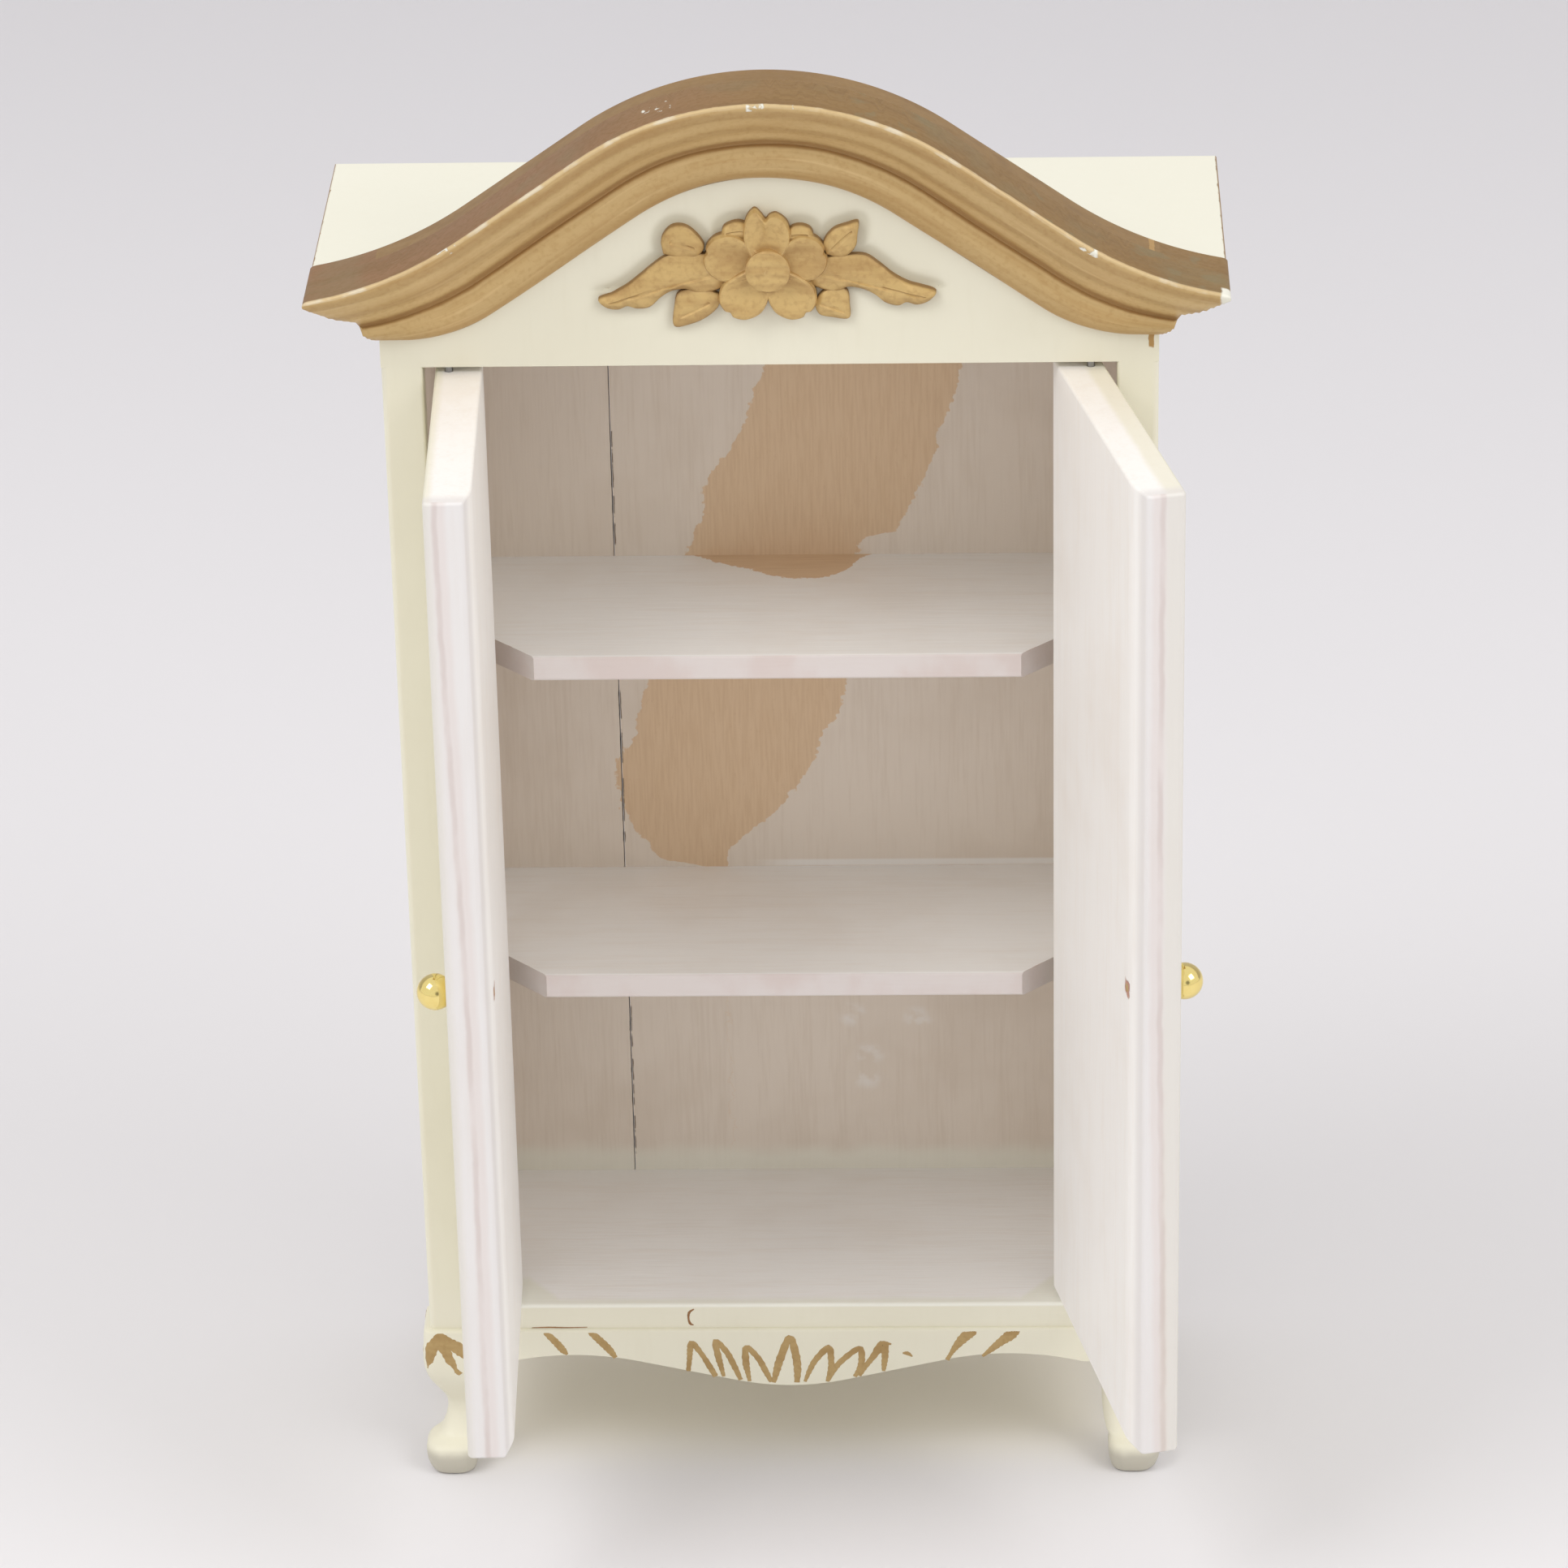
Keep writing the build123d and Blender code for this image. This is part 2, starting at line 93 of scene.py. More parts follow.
def camera():
    """Camera in front of the armoire and above it, looking down at about 27 degrees."""
    data = bpy.data.cameras.new("view_camera")
    data.lens = 151.52
    data.sensor_width = 36.0
    data.clip_end = 10.0
    obj = bpy.data.objects.new("view_camera", data)
    bpy.context.scene.collection.objects.link(obj)
    yaw, pitch, roll = -0.03304, 0.4722, -0.02152
    forward = Vector((math.sin(yaw) * math.cos(pitch), math.cos(yaw) * math.cos(pitch),
                      -math.sin(pitch)))
    level = Vector((math.cos(yaw), -math.sin(yaw), 0))
    upright = level.cross(forward)
    right = math.cos(roll) * level + math.sin(roll) * upright
    up = -math.sin(roll) * level + math.cos(roll) * upright
    place = Vector((23.73, -697.82, 452.67)) * MM
    rows = [(right[i], up[i], -forward[i], place[i]) for i in range(3)]
    obj.matrix_world = Matrix(rows + [(0, 0, 0, 1)])
    bpy.context.scene.camera = obj


def area_light(name, place, target, size, power):
    """Square soft light at place, in metres, turned to target."""
    data = bpy.data.lights.new(name, "AREA")
    data.shape = "SQUARE"
    data.size = size
    data.energy = power
    obj = bpy.data.objects.new(name, data)
    obj.location = place
    obj.rotation_euler = (Vector(target) - Vector(place)).to_track_quat("-Z", "Y").to_euler()
    bpy.context.scene.collection.objects.link(obj)


def world_light(colour, strength, dim, dim_towards):
    """Even light from all round, dimmed to a share one way, where the brass mirrors it."""
    world = bpy.data.worlds.new("studio")
    world.use_nodes = True
    tree = world.node_tree
    coords = tree.nodes.new("ShaderNodeTexCoord")
    dot = tree.nodes.new("ShaderNodeVectorMath")
    dot.operation = "DOT_PRODUCT"
    dot.inputs[1].default_value = dim_towards
    level = tree.nodes.new("ShaderNodeMapRange")
    level.interpolation_type = "SMOOTHSTEP"
    ends = {"From Min": 0.935, "From Max": 0.985, "To Min": strength, "To Max": strength * dim}
    for end, value in ends.items():
        level.inputs[end].default_value = value
    shade = tree.nodes["Background"]
    shade.inputs["Color"].default_value = (*colour, 1)
    tree.links.new(coords.outputs["Generated"], dot.inputs[0])
    tree.links.new(dot.outputs["Value"], level.inputs["Value"])
    tree.links.new(level.outputs[0], shade.inputs["Strength"])
    bpy.context.scene.world = world


# Meshes

def new_piece(name, points, faces, material, sharp_angle=40, marks=()):
    """Mesh object from points in millimetres, with its faces turned outwards.

    Marks are (name, values) pairs, one value to a point, that a material can read."""
    mesh = bpy.data.meshes.new(name)
    mesh.from_pydata([tuple(float(c) * MM for c in p) for p in points], [], faces)
    for mark, values in marks:
        mesh.attributes.new(mark, "FLOAT", "POINT").data.foreach_set("value", values)
    work = bmesh.new()
    work.from_mesh(mesh)
    bmesh.ops.remove_doubles(work, verts=work.verts, dist=1e-7)
    bmesh.ops.dissolve_degenerate(work, edges=work.edges, dist=1e-7)
    bmesh.ops.recalc_face_normals(work, faces=work.faces)
    work.to_mesh(mesh)
    work.free()
    mesh.shade_smooth()
    mesh.set_sharp_from_angle(angle=math.radians(sharp_angle))
    mesh.materials.append(material)
    obj = bpy.data.objects.new(name, mesh)
    bpy.context.scene.collection.objects.link(obj)
    return obj


def loft(rings):
    """Points and faces of a closed skin over rings of equal length, capped at both ends."""
    count = len(rings[0])
    points = [p for ring in rings for p in ring]
    faces = []
    for k in range(len(rings) - 1):
        for i in range(count):
            j = (i + 1) % count
            faces.append((k * count + i, k * count + j, (k + 1) * count + j, (k + 1) * count + i))
    faces.append(tuple(range(count)))
    faces.append(tuple(range((len(rings) - 1) * count, len(rings) * count)))
    return points, faces


def smooth_curve(table, steps):
    """Catmull-Rom curve through the rows of a table, with steps points per span."""
    rows = np.array(table, float)
    rows = np.vstack([2 * rows[0] - rows[1], rows, 2 * rows[-1] - rows[-2]])
    out = []
    for k in range(1, len(rows) - 2):
        a, b, c, d = rows[k - 1:k + 3]
        for t in np.linspace(0, 1, steps, endpoint=False):
            out.append(0.5 * (2 * b + (c - a) * t + (2 * a - 5 * b + 4 * c - d) * t**2
                              + (3 * b - a - 3 * c + d) * t**3))
    out.append(rows[-2])
    return np.array(out)


# Materials

def srgb(red, green, blue):
    """Scene-linear colour of an 8-bit display colour."""
    return tuple(((c / 255 + 0.055) / 1.055) ** 2.4 if c > 10 else c / 3294.6
                 for c in (red, green, blue)) + (1.0,)


CREAM = srgb(235, 231, 211)
CREAM_SHADE = srgb(228, 223, 201)
FOOT_PAINTED_SHADE = srgb(192, 187, 172)
CREAM_PALE_AND_LIT = srgb(243, 242, 228)
WASH = srgb(250, 248, 245)
WASH_THIN = srgb(242, 236, 229)
WASH_BACK = srgb(236, 224, 210)
WASH_BACK_THIN = srgb(221, 206, 189)
WOOD = srgb(230, 202, 169)
WOOD_DARK = srgb(216, 184, 148)
WOOD_PINK = srgb(214, 186, 176)
EDGE_PAINTED_SHADE = srgb(222, 218, 217)
LINE_BROWN = srgb(150, 118, 104)
UNDERCOAT = srgb(122, 88, 56)
GAP_DARK = srgb(66, 50, 36)
GOLD = srgb(202, 172, 119)
GOLD_DEEP = srgb(180, 143, 88)
GOLD_DARK_AND_GROOVE_SHADE = srgb(160, 122, 76)
GOLD_PALE_AND_HIGHLIGHT = srgb(222, 194, 142)
GOLD_ARRIS_HIGHLIGHT = srgb(226, 204, 162)
BAND = srgb(150, 119, 74)
BAND_RED = srgb(150, 114, 80)
BAND_DEEP = srgb(132, 102, 62)
BAND_GREY = srgb(140, 126, 92)
SPRAY = srgb(208, 177, 118)
SPRAY_PAINTED_SHADE = srgb(146, 112, 70)
CHALK = srgb(238, 236, 222)
NICK_BROWN = srgb(178, 116, 88)


class Paint:
    """A Principled material, with its coordinates in millimetres."""

    def __init__(self, name):
        self.material = bpy.data.materials.new(name)
        self.material.use_nodes = True
        self.tree = self.material.node_tree
        self.surface = self.tree.nodes["Principled BSDF"]
        self.surface.inputs["Specular IOR Level"].default_value = 0.3
        coords = self.node("TexCoord")
        scaled = self.node("VectorMath", coords.outputs["Object"], (1 / MM,) * 3,
                           operation="MULTIPLY")
        self.place = scaled.outputs[0]
        self.x, self.y, self.z = self.node("SeparateXYZ", self.place).outputs
        self.facing = self.node("SeparateXYZ", coords.outputs["Normal"]).outputs

    def node(self, kind, *values, **settings):
        """Add a node, linking or setting its inputs in order."""
        item = self.tree.nodes.new("ShaderNode" + kind)
        for key, value in settings.items():
            setattr(item, key, value)
        for socket, value in zip(item.inputs, values):
            self.feed(socket, value)
        return item

    def feed(self, socket, value):
        """Link a socket to an output, or set it to a value."""
        if isinstance(value, bpy.types.NodeSocket):
            self.tree.links.new(value, socket)
        elif value is not None:
            socket.default_value = value

    def math(self, operation, *values):
        return self.node("Math", *values, operation=operation).outputs[0]

    def band(self, value, low, high):
        """0 below low, 1 above high, smooth between them. Low may be above high."""
        item = self.node("MapRange", value, low, high, 0.0, 1.0, interpolation_type="SMOOTHSTEP")
        return item.outputs[0]

    def minus(self, value, other):
        return self.math("SUBTRACT", value, other)

    def size(self, value):
        """Value without its sign."""
        return self.math("ABSOLUTE", value)

    def near(self, value, middle, half, soft):
        """1 within half of the middle value, fading out over soft."""
        return self.band(self.size(self.minus(value, middle)), half + soft, half)

    def spot(self, middle, radius, soft):
        """1 within a radius of a place, fading out over soft."""
        away = self.node("VectorMath", self.place, middle, operation="DISTANCE").outputs["Value"]
        return self.band(self.wander(away, 0.5, 0.5), radius + soft, radius)

    def blend(self, amount, first, second):
        item = self.node("Mix", data_type="RGBA")
        for socket, value in ((0, amount), (6, first), (7, second)):
            self.feed(item.inputs[socket], value)
        return item.outputs[2]

    def over(self, colour, tone, *masks):
        """Colour with a tone laid over it, by the product of masks."""
        return self.blend(self.both(*masks), colour, tone)

    def noise(self, scale, detail=3.0, stretch=(1, 1, 1), where=None):
        """Noise from 0 to 1, with scale in cycles per millimetre."""
        where = self.node("VectorMath", where or self.place, stretch, operation="MULTIPLY")
        item = self.node("TexNoise", where.outputs[0], None, scale, detail)
        return item.outputs[0]

    def patches(self, low, high, *noise):
        """Mask of the places where a noise lies above low to high."""
        return self.band(self.noise(*noise), low, high)

    def both(self, *masks):
        """Product of masks."""
        out = masks[0]
        for mask in masks[1:]:
            out = self.math("MULTIPLY", out, mask)
        return out

    def either(self, *masks):
        """Largest of masks."""
        out = masks[0]
        for mask in masks[1:]:
            out = self.math("MAXIMUM", out, mask)
        return out

    def wander(self, value, scale, reach, detail=3.0):
        """A value shifted to and fro by noise, by up to reach."""
        shift = self.math("MULTIPLY_ADD", self.noise(scale, detail), 2 * reach, -reach)
        return self.math("ADD", value, shift)

    def edges(self, radius, low=0.02, high=0.2):
        """1 on sharp or tightly rounded edges, 0 on flat faces."""
        bevel = self.node("Bevel", radius * MM, samples=6)
        true = self.node("NewGeometry").outputs["True Normal"]
        dot = self.node("VectorMath", bevel.outputs[0], true, operation="DOT_PRODUCT")
        return self.band(self.minus(1.0, dot.outputs["Value"]), low, high)

    def along(self, direction, origin=(0, 0, 0)):
        """Distance along a direction from an origin, in millimetres."""
        shift = self.node("VectorMath", self.place, origin, operation="SUBTRACT").outputs[0]
        return self.node("VectorMath", shift, direction, operation="DOT_PRODUCT").outputs["Value"]

    def mark(self, name):
        """Value that the mesh carries under a name."""
        return self.node("Attribute", attribute_name=name).outputs["Fac"]

    def curve(self, value, points, low, high, out_low, out_high):
        """Value read off a curve given as (value, result) points."""
        item = self.node("FloatCurve")
        item.inputs["Factor"].default_value = 1.0
        line = item.mapping.curves[0].points
        scaled = [((a - low) / (high - low), (b - out_low) / (out_high - out_low))
                  for a, b in points]
        line[0].location, line[1].location = scaled[0], scaled[-1]
        for spot in scaled[1:-1]:
            line.new(*spot)
        item.mapping.update()
        self.feed(item.inputs["Value"],
                  self.node("MapRange", value, low, high, 0.0, 1.0).outputs[0])
        return self.node("MapRange", item.outputs[0], 0.0, 1.0, out_low, out_high).outputs[0]

    def bump(self, *layers):
        """Stack bumps given as (height, depth in millimetres)."""
        normal = None
        for height, depth in layers:
            item = self.node("Bump")
            for name, value in (("Strength", 1.0), ("Distance", depth * MM), ("Height", height),
                                ("Normal", normal)):
                self.feed(item.inputs[name], value)
            normal = item.outputs[0]
        self.feed(self.surface.inputs["Normal"], normal)

    def finish(self, colour, texture=None, spread=0.0, roughness=0.5, metallic=None):
        """Set the surface. Its roughness rises with a texture, by up to the spread."""
        if texture is not None:
            roughness = self.math("MULTIPLY_ADD", texture, spread, roughness)
        for name, value in (("Base Color", colour), ("Roughness", roughness),
                            ("Metallic", metallic)):
            self.feed(self.surface.inputs[name], value)
        return self.material


LONG = (0.06, 1.0, 1.0)      # stretch of the grain along x
TALL = (1.0, 1.0, 0.06)      # upright


def cream_layer(paint):
    """Colour and bump height of brushed cream paint."""
    cloud = paint.noise(0.05, 2.0)
    brush = paint.noise(0.8, 3.0, (1.0, 1.0, 0.15))
    colour = paint.over(CREAM, CREAM_SHADE, paint.band(cloud, 0.3, 0.7), 0.5)
    colour = paint.over(colour, CREAM_SHADE, paint.band(brush, 0.5, 0.8), 0.3)
    return colour, brush


def wash_layer(paint, grain, full=WASH, thin=WASH_THIN):
    """Colour and bump height of thin white wash over wood. Grain is the stretch of its noise."""
    fibre = paint.noise(2.4, 4.0, grain)
    streak = paint.noise(0.5, 3.0, grain)
    cloud = paint.noise(0.07, 3.0)
    mixed = paint.math("ADD", paint.both(fibre, 0.55), paint.both(streak, 0.45))
    colour = paint.over(full, thin, paint.band(mixed, 0.44, 0.7), 0.42)
    colour = paint.over(colour, thin, paint.band(cloud, 0.45, 0.75), 0.45)
    return colour, fibre


def nicks(paint, radius, amount):
    """Mask of small chips along the edges."""
    return paint.both(paint.edges(radius), paint.patches(amount, amount + 0.05, 0.55, 4.0))


def cream_finish(paint, colour, brush, worn):
    colour = paint.blend(worn, colour, UNDERCOAT)
    paint.bump((brush, 0.02), (worn, -0.05))
    return paint.finish(colour, brush, 0.2, 0.3)


def cream_paint(name):
    paint = Paint(name)
    colour, brush = cream_layer(paint)
    return cream_finish(paint, colour, brush, nicks(paint, 0.3, 0.7))


def wash_finish(paint, colour, fibre):
    paint.bump((fibre, 0.03))
    return paint.finish(colour, fibre, 0.25, 0.45)


def wash_paint(name, grain):
    paint = Paint(name)
    return wash_finish(paint, *wash_layer(paint, grain))


def gold_grain(paint, colour, deep, where=None):
    """Colour with the fine mottle and streaks of metallic paint, and the mottle itself."""
    streak = paint.noise(0.5, 4.0, (0.12, 1.0, 1.0), where=where)
    mottle = paint.noise(1.6, 4.0)
    colour = paint.over(colour, deep, paint.band(streak, 0.42, 0.68), 0.55)
    return paint.over(colour, deep, paint.band(mottle, 0.45, 0.7), 0.35), mottle


def gold_finish(paint, colour, mottle):
    paint.bump((mottle, 0.03))
    return paint.finish(colour, mottle, 0.2, 0.34, 0.18)


def plain_gold(name, tone=GOLD, deep=GOLD_DEEP):
    paint = Paint(name)
    return gold_finish(paint, *gold_grain(paint, tone, deep))


def cornice_paint():
    """Gold paint that follows the moulding: dark band on top, a painted highlight on the arris, painted
    shade in the groove, and bands of painted light and shade across the curves.
    """
    paint = Paint("gold_cornice")
    across = paint.mark("across")
    run = paint.node("CombineXYZ", paint.x, paint.math("MULTIPLY", across, 7.0), 0.0).outputs[0]
    colour, mottle = gold_grain(paint, GOLD, GOLD_DEEP, run)
    streaks = paint.noise(0.55, 3.0, (0.08, 1.5, 1.0), where=run)
    colour = paint.over(colour, GOLD_PALE_AND_HIGHLIGHT, paint.band(streaks, 0.55, 0.72), 0.5)
    wavy = paint.wander(across, 0.35, 0.03)
    # Painted light and shade across the moulding. Across runs 0 to 1 over the upper member and 1 to 2
    # over the lower one. Bands of painted shade and painted highlight follow the curves, with painted
    # shade in the groove at 1 and where the lower member meets the board.
    for middle, half, soft, tone, amount in (
            (0.2, 0.05, 0.08, GOLD_DARK_AND_GROOVE_SHADE, 0.3), (0.42, 0.03, 0.12, GOLD_PALE_AND_HIGHLIGHT, 0.35),
            (0.62, 0.03, 0.06, GOLD_DARK_AND_GROOVE_SHADE, 0.3), (0.8, 0.03, 0.06, GOLD_PALE_AND_HIGHLIGHT, 0.35),
            (1.0, 0.04, 0.08, GOLD_DARK_AND_GROOVE_SHADE, 0.75), (1.12, 0.01, 0.04, GOLD_PALE_AND_HIGHLIGHT, 0.3),
            (1.95, 0.05, 0.25, GOLD_DEEP, 0.6)):
        colour = paint.over(colour, tone, paint.near(wavy, middle, half, soft), amount)
    cloud = paint.noise(0.12, 3.0)
    tone = paint.blend(paint.band(paint.wander(paint.x, 0.05, 15.0), -22.0, 6.0), BAND_RED, BAND)
    band, _ = gold_grain(paint, tone, BAND_DEEP, run)
    spans = ((14.0, 3.5, 3.0), (33.0, 1.5, 2.0), (47.0, 4.0, 2.0))   # middle, half, soft edge
    worn = paint.both(paint.patches(0.54, 0.62, 0.3, 5.0),
                      paint.either(*(paint.near(paint.x, *span) for span in spans)))
    band = paint.over(band, BAND_GREY, worn, 0.6)
    band = paint.over(band, BAND_GREY, paint.band(cloud, 0.5, 0.7), 0.35)
    colour = paint.blend(paint.band(wavy, 0.0, -0.03), colour, band)
    # Painted highlight along the arris.
    line = paint.both(paint.near(wavy, 0.015, 0.025, 0.03), paint.band(cloud, 0.2, 0.5))
    colour = paint.over(colour, GOLD_ARRIS_HIGHLIGHT, line, 0.45)
    rubbed = paint.both(line, paint.patches(0.52, 0.66, 0.25, 3.0))
    colour = paint.over(colour, CHALK, rubbed, 0.4)
    chip_noise = paint.patches(0.5, 0.56, 0.8, 4.0)
    spans = ((-0.7, 0.9, 0.2), (4.3, 0.7, 0.2), (36.5, 0.9, 0.3), (-36.0, 0.9, 0.3))
    chips = paint.both(paint.near(across, 0.05, 0.06, 0.02), chip_noise,
                       paint.either(*(paint.near(paint.x, *span) for span in spans)))
    scuffs = paint.both(paint.near(across, -0.62, 0.1, 0.03), paint.near(paint.x, -12.0, 1.5, 0.3),
                        chip_noise)
    tip = paint.both(paint.band(paint.wander(paint.x, 0.9, 0.35), 51.4, 51.7),
                     paint.band(paint.y, -5.6, -6.2))
    bare = paint.either(chips, scuffs, tip)
    colour = paint.blend(bare, colour, CHALK)
    paint.bump((mottle, 0.03), (streaks, 0.05), (bare, -0.08))
    return paint.finish(colour, mottle, 0.2, 0.34, paint.both(paint.minus(1.0, bare), 0.15))


def carving_gold():
    """Gold on the carving, with painted shade where it meets the board, in the cuts and on faces turned
    down, and a painted highlight along its edges.
    """
    paint = Paint("gold_spray")
    colour, mottle = gold_grain(paint, SPRAY, srgb(168, 130, 82))
    # Painted shade where the carving meets the board.
    colour = paint.over(colour, SPRAY_PAINTED_SHADE, paint.band(paint.y, -0.75, -0.3), 0.85)
    # Painted highlight along the carving's edges.
    rim = paint.both(paint.edges(0.35, 0.03, 0.2), paint.patches(0.3, 0.6, 0.8, 2.0))
    colour = paint.over(colour, GOLD_PALE_AND_HIGHLIGHT, rim, 0.45)
    # Painted shade on faces turned down.
    colour = paint.over(colour, SPRAY_PAINTED_SHADE, paint.band(paint.facing[2], -0.25, -0.8), 0.6)
    return gold_finish(paint, colour, mottle)


def pediment_finish():
    """Cream board with painted shade in the ground cut back round the carving, gold on the upper edge
    that shows behind the cornice, wash inside.
    """
    paint = Paint("cream_pediment")
    colour, brush = cream_layer(paint)
    # Painted shade in the ground cut back round the carving.
    painted_recess_shade = paint.both(paint.band(paint.y, 0.08, 0.3), paint.band(paint.y, 0.9, 0.4))
    colour = paint.over(colour, srgb(208, 203, 180), painted_recess_shade, 0.6)
    wash, _ = wash_layer(paint, LONG)
    inside = paint.both(paint.band(paint.y, stock - 0.2, stock - 0.05),
                        paint.band(paint.z, board_top - stock + 0.1, board_top - stock - 0.1))
    colour = paint.blend(inside, colour, wash)
    band, mottle = gold_grain(paint, BAND, BAND_DEEP)
    gilt_from = 158.0
    top = paint.both(paint.band(paint.facing[2], 0.4, 0.6),
                     paint.band(paint.z, gilt_from, gilt_from + 1.0))
    colour = paint.blend(top, colour, band)
    drip_x, drip_end = 43.9, 151.9
    drip = paint.both(paint.near(paint.wander(paint.x, 1.0, 0.15), drip_x, 0.28, 0.08),
                      paint.band(paint.wander(paint.z, 1.0, 0.3), drip_end, drip_end + 0.3))
    colour = paint.blend(drip, colour, GOLD_DEEP)
    return cream_finish(paint, colour, brush, nicks(paint, 0.25, 0.74))


BARE_LEFT = (  # (height, x) of the left edge of the patch that the wash missed
    (66.0, -8.0), (67.7, -10.4), (69.2, -16.4), (73.2, -18.9), (76.6, -20.8), (83.4, -20.6),
    (85.7, -19.2), (92.4, -17.1), (112.5, -11.3), (115.5, -9.7), (119.9, -9.1), (125.2, -6.0),
    (130.6, -3.5), (136.2, -1.2), (158.5, 8.5))
BARE_RIGHT = (
    (66.0, -8.0), (69.7, -7.3), (74.2, -2.6), (79.9, 2.0), (86.6, 5.1), (93.5, 7.6), (105.0, 9.0),
    (112.6, 9.6), (113.8, 14.0), (117.5, 16.0), (120.7, 17.0), (123.9, 18.5), (128.2, 19.6),
    (132.5, 21.3), (136.0, 22.1), (158.5, 28.0))


def bare_wood(paint, grain):
    fibre = paint.noise(3.4, 5.0, grain)
    fleck = paint.noise(3.2, 3.0, (1, 1, 0.35))
    colour = paint.over(WOOD, WOOD_DARK, paint.band(fibre, 0.35, 0.7), 0.45)
    return paint.over(colour, WOOD_DARK, paint.band(fleck, 0.6, 0.75), 0.3)


def back_paint():
    """Thin wash on the back, with a bare streak where the brush missed and a dark joint."""
    paint = Paint("white_wash_back")
    colour, fibre = wash_layer(paint, TALL, WASH_BACK, WASH_BACK_THIN)
    ragged = paint.wander(paint.wander(paint.x, 0.28, 1.5), 1.3, 0.9, 5.0)
    low, high = BARE_LEFT[0][0], BARE_LEFT[-1][0]
    left = paint.curve(paint.z, BARE_LEFT, low, high, -24.0, 32.0)
    right = paint.curve(paint.z, BARE_RIGHT, low, high, -24.0, 32.0)
    bare = paint.both(paint.band(paint.minus(ragged, left), -0.12, 0.12),
                      paint.band(paint.minus(right, ragged), -0.12, 0.12),
                      paint.band(paint.y, back_low[1] + 0.3, back_low[1] + 0.1))
    colour = paint.blend(bare, colour, bare_wood(paint, TALL))
    smudge = paint.either(*(paint.spot((x, back_low[1], z), 0.8, 1.6)
                            for x, z in ((7.6, 46.4), (9.6, 40.5), (9.3, 37.5), (15.8, 45.7))))
    colour = paint.over(colour, WASH, smudge, paint.patches(0.4, 0.6, 0.4, 3.0), 0.45)
    # A paler line on the wall just above the lower shelf, over its right part.
    pale_line_over_shelf = paint.both(paint.near(paint.z, lower_shelf_top + 0.5, 0.25, 0.35),
                      paint.band(paint.x, -6.0, 2.0))
    colour = paint.over(colour, WASH, pale_line_over_shelf, 0.7)
    splash = paint.band(paint.wander(paint.z, 0.2, 1.0), floor_high[2] + 4.5, floor_high[2] + 1.5)
    colour = paint.over(colour, CREAM_PALE_AND_LIT, splash, 0.7)
    lengths = paint.either(*(paint.near(paint.z, z, half, 0.5)
                             for z, half in ((120.0, 7.5), (82.0, 10.5), (37.0, 10.5))))
    dashes = paint.patches(0.44, 0.5, 0.35, 3.0, (0, 0, 1))
    joint = paint.near(paint.wander(paint.x, 0.6, 0.12), back_joint, 0.12, 0.06)
    colour = paint.over(colour, GAP_DARK, joint, lengths, dashes, 0.85)
    colour = paint.over(colour, WOOD_DARK, joint, 0.15)
    outside = paint.band(paint.y, back_high[1] - 0.1, back_high[1] - 0.02)
    cream_back, _ = cream_layer(paint)
    colour = paint.blend(outside, colour, cream_back)
    return wash_finish(paint, colour, fibre)


def shelf_paint(name, spill):
    """Washed shelf, thin and pinkish along its front edge, which also carries painted shade, with wood
    bare where asked.
    """
    paint = Paint(name)
    colour, fibre = wash_layer(paint, LONG)
    front = paint.band(paint.facing[1], -0.4, -0.8)
    patch = paint.patches(0.45, 0.65, 0.14, 4.0, (1, 1, 0.6))
    share = paint.math("MULTIPLY_ADD", patch, 0.2, 0.25)
    # Painted shade on the front edge.
    colour = paint.over(colour, EDGE_PAINTED_SHADE, front, 0.5)
    colour = paint.over(colour, WOOD_PINK, front, share)
    corner = paint.both(paint.edges(0.35), paint.patches(0.56, 0.62, 0.5, 4.0))
    colour = paint.over(colour, WOOD_PINK, corner, 0.5)
    if spill:
        edge = paint.curve(paint.x, ((-12.5, 34.5), (-11.0, 33.0), (-4.3, 29.2), (3.2, 26.1),
                                     (10.0, 32.0), (11.5, 34.0)), -12.5, 11.5, 24.0, 36.0)
        ragged = paint.wander(paint.wander(paint.y, 0.3, 1.0), 1.4, 0.8, 5.0)
        within = paint.both(paint.near(paint.x, -0.5, 11.7, 0.2), paint.band(paint.facing[2], 0.4, 0.6))
        bare = paint.both(within, paint.band(paint.minus(ragged, edge), -0.12, 0.12))
        colour = paint.blend(bare, colour, bare_wood(paint, LONG))
    return wash_finish(paint, colour, fibre)


def floor_paint():
    """White wash on the floor board, cut off at the front corners, and cream beyond."""
    paint = Paint("white_wash_floor")
    colour, fibre = wash_layer(paint, LONG)
    cream_front, _ = cream_layer(paint)
    margin, cut_from, slope, deepest = 1.1, 28.5, 1.26, 6.4
    outward = paint.math("MAXIMUM", paint.minus(paint.size(paint.x), cut_from), 0.0)
    edge = paint.math("MINIMUM", paint.math("MULTIPLY_ADD", outward, slope, margin), deepest)
    beyond = paint.band(paint.minus(paint.wander(paint.y, 0.4, 0.4), edge), 1.0, -0.8)
    under = paint.band(paint.z, floor_high[2] - 0.25, floor_high[2] - 0.6)
    colour = paint.over(colour, CREAM_PALE_AND_LIT, beyond, 0.8)
    colour = paint.blend(under, colour, cream_front)
    return wash_finish(paint, colour, fibre)


def side_paint():
    """Cream outside, wash inside."""
    paint = Paint("cream_side")
    colour, brush = cream_layer(paint)
    wash, _ = wash_layer(paint, TALL, WASH_BACK, WASH_BACK_THIN)
    inside = paint.band(paint.size(paint.x), half_width - stock + 0.15,
                        half_width - stock + 0.05)
    colour = paint.blend(inside, colour, wash)
    return cream_finish(paint, colour, brush, nicks(paint, 0.3, 0.72))


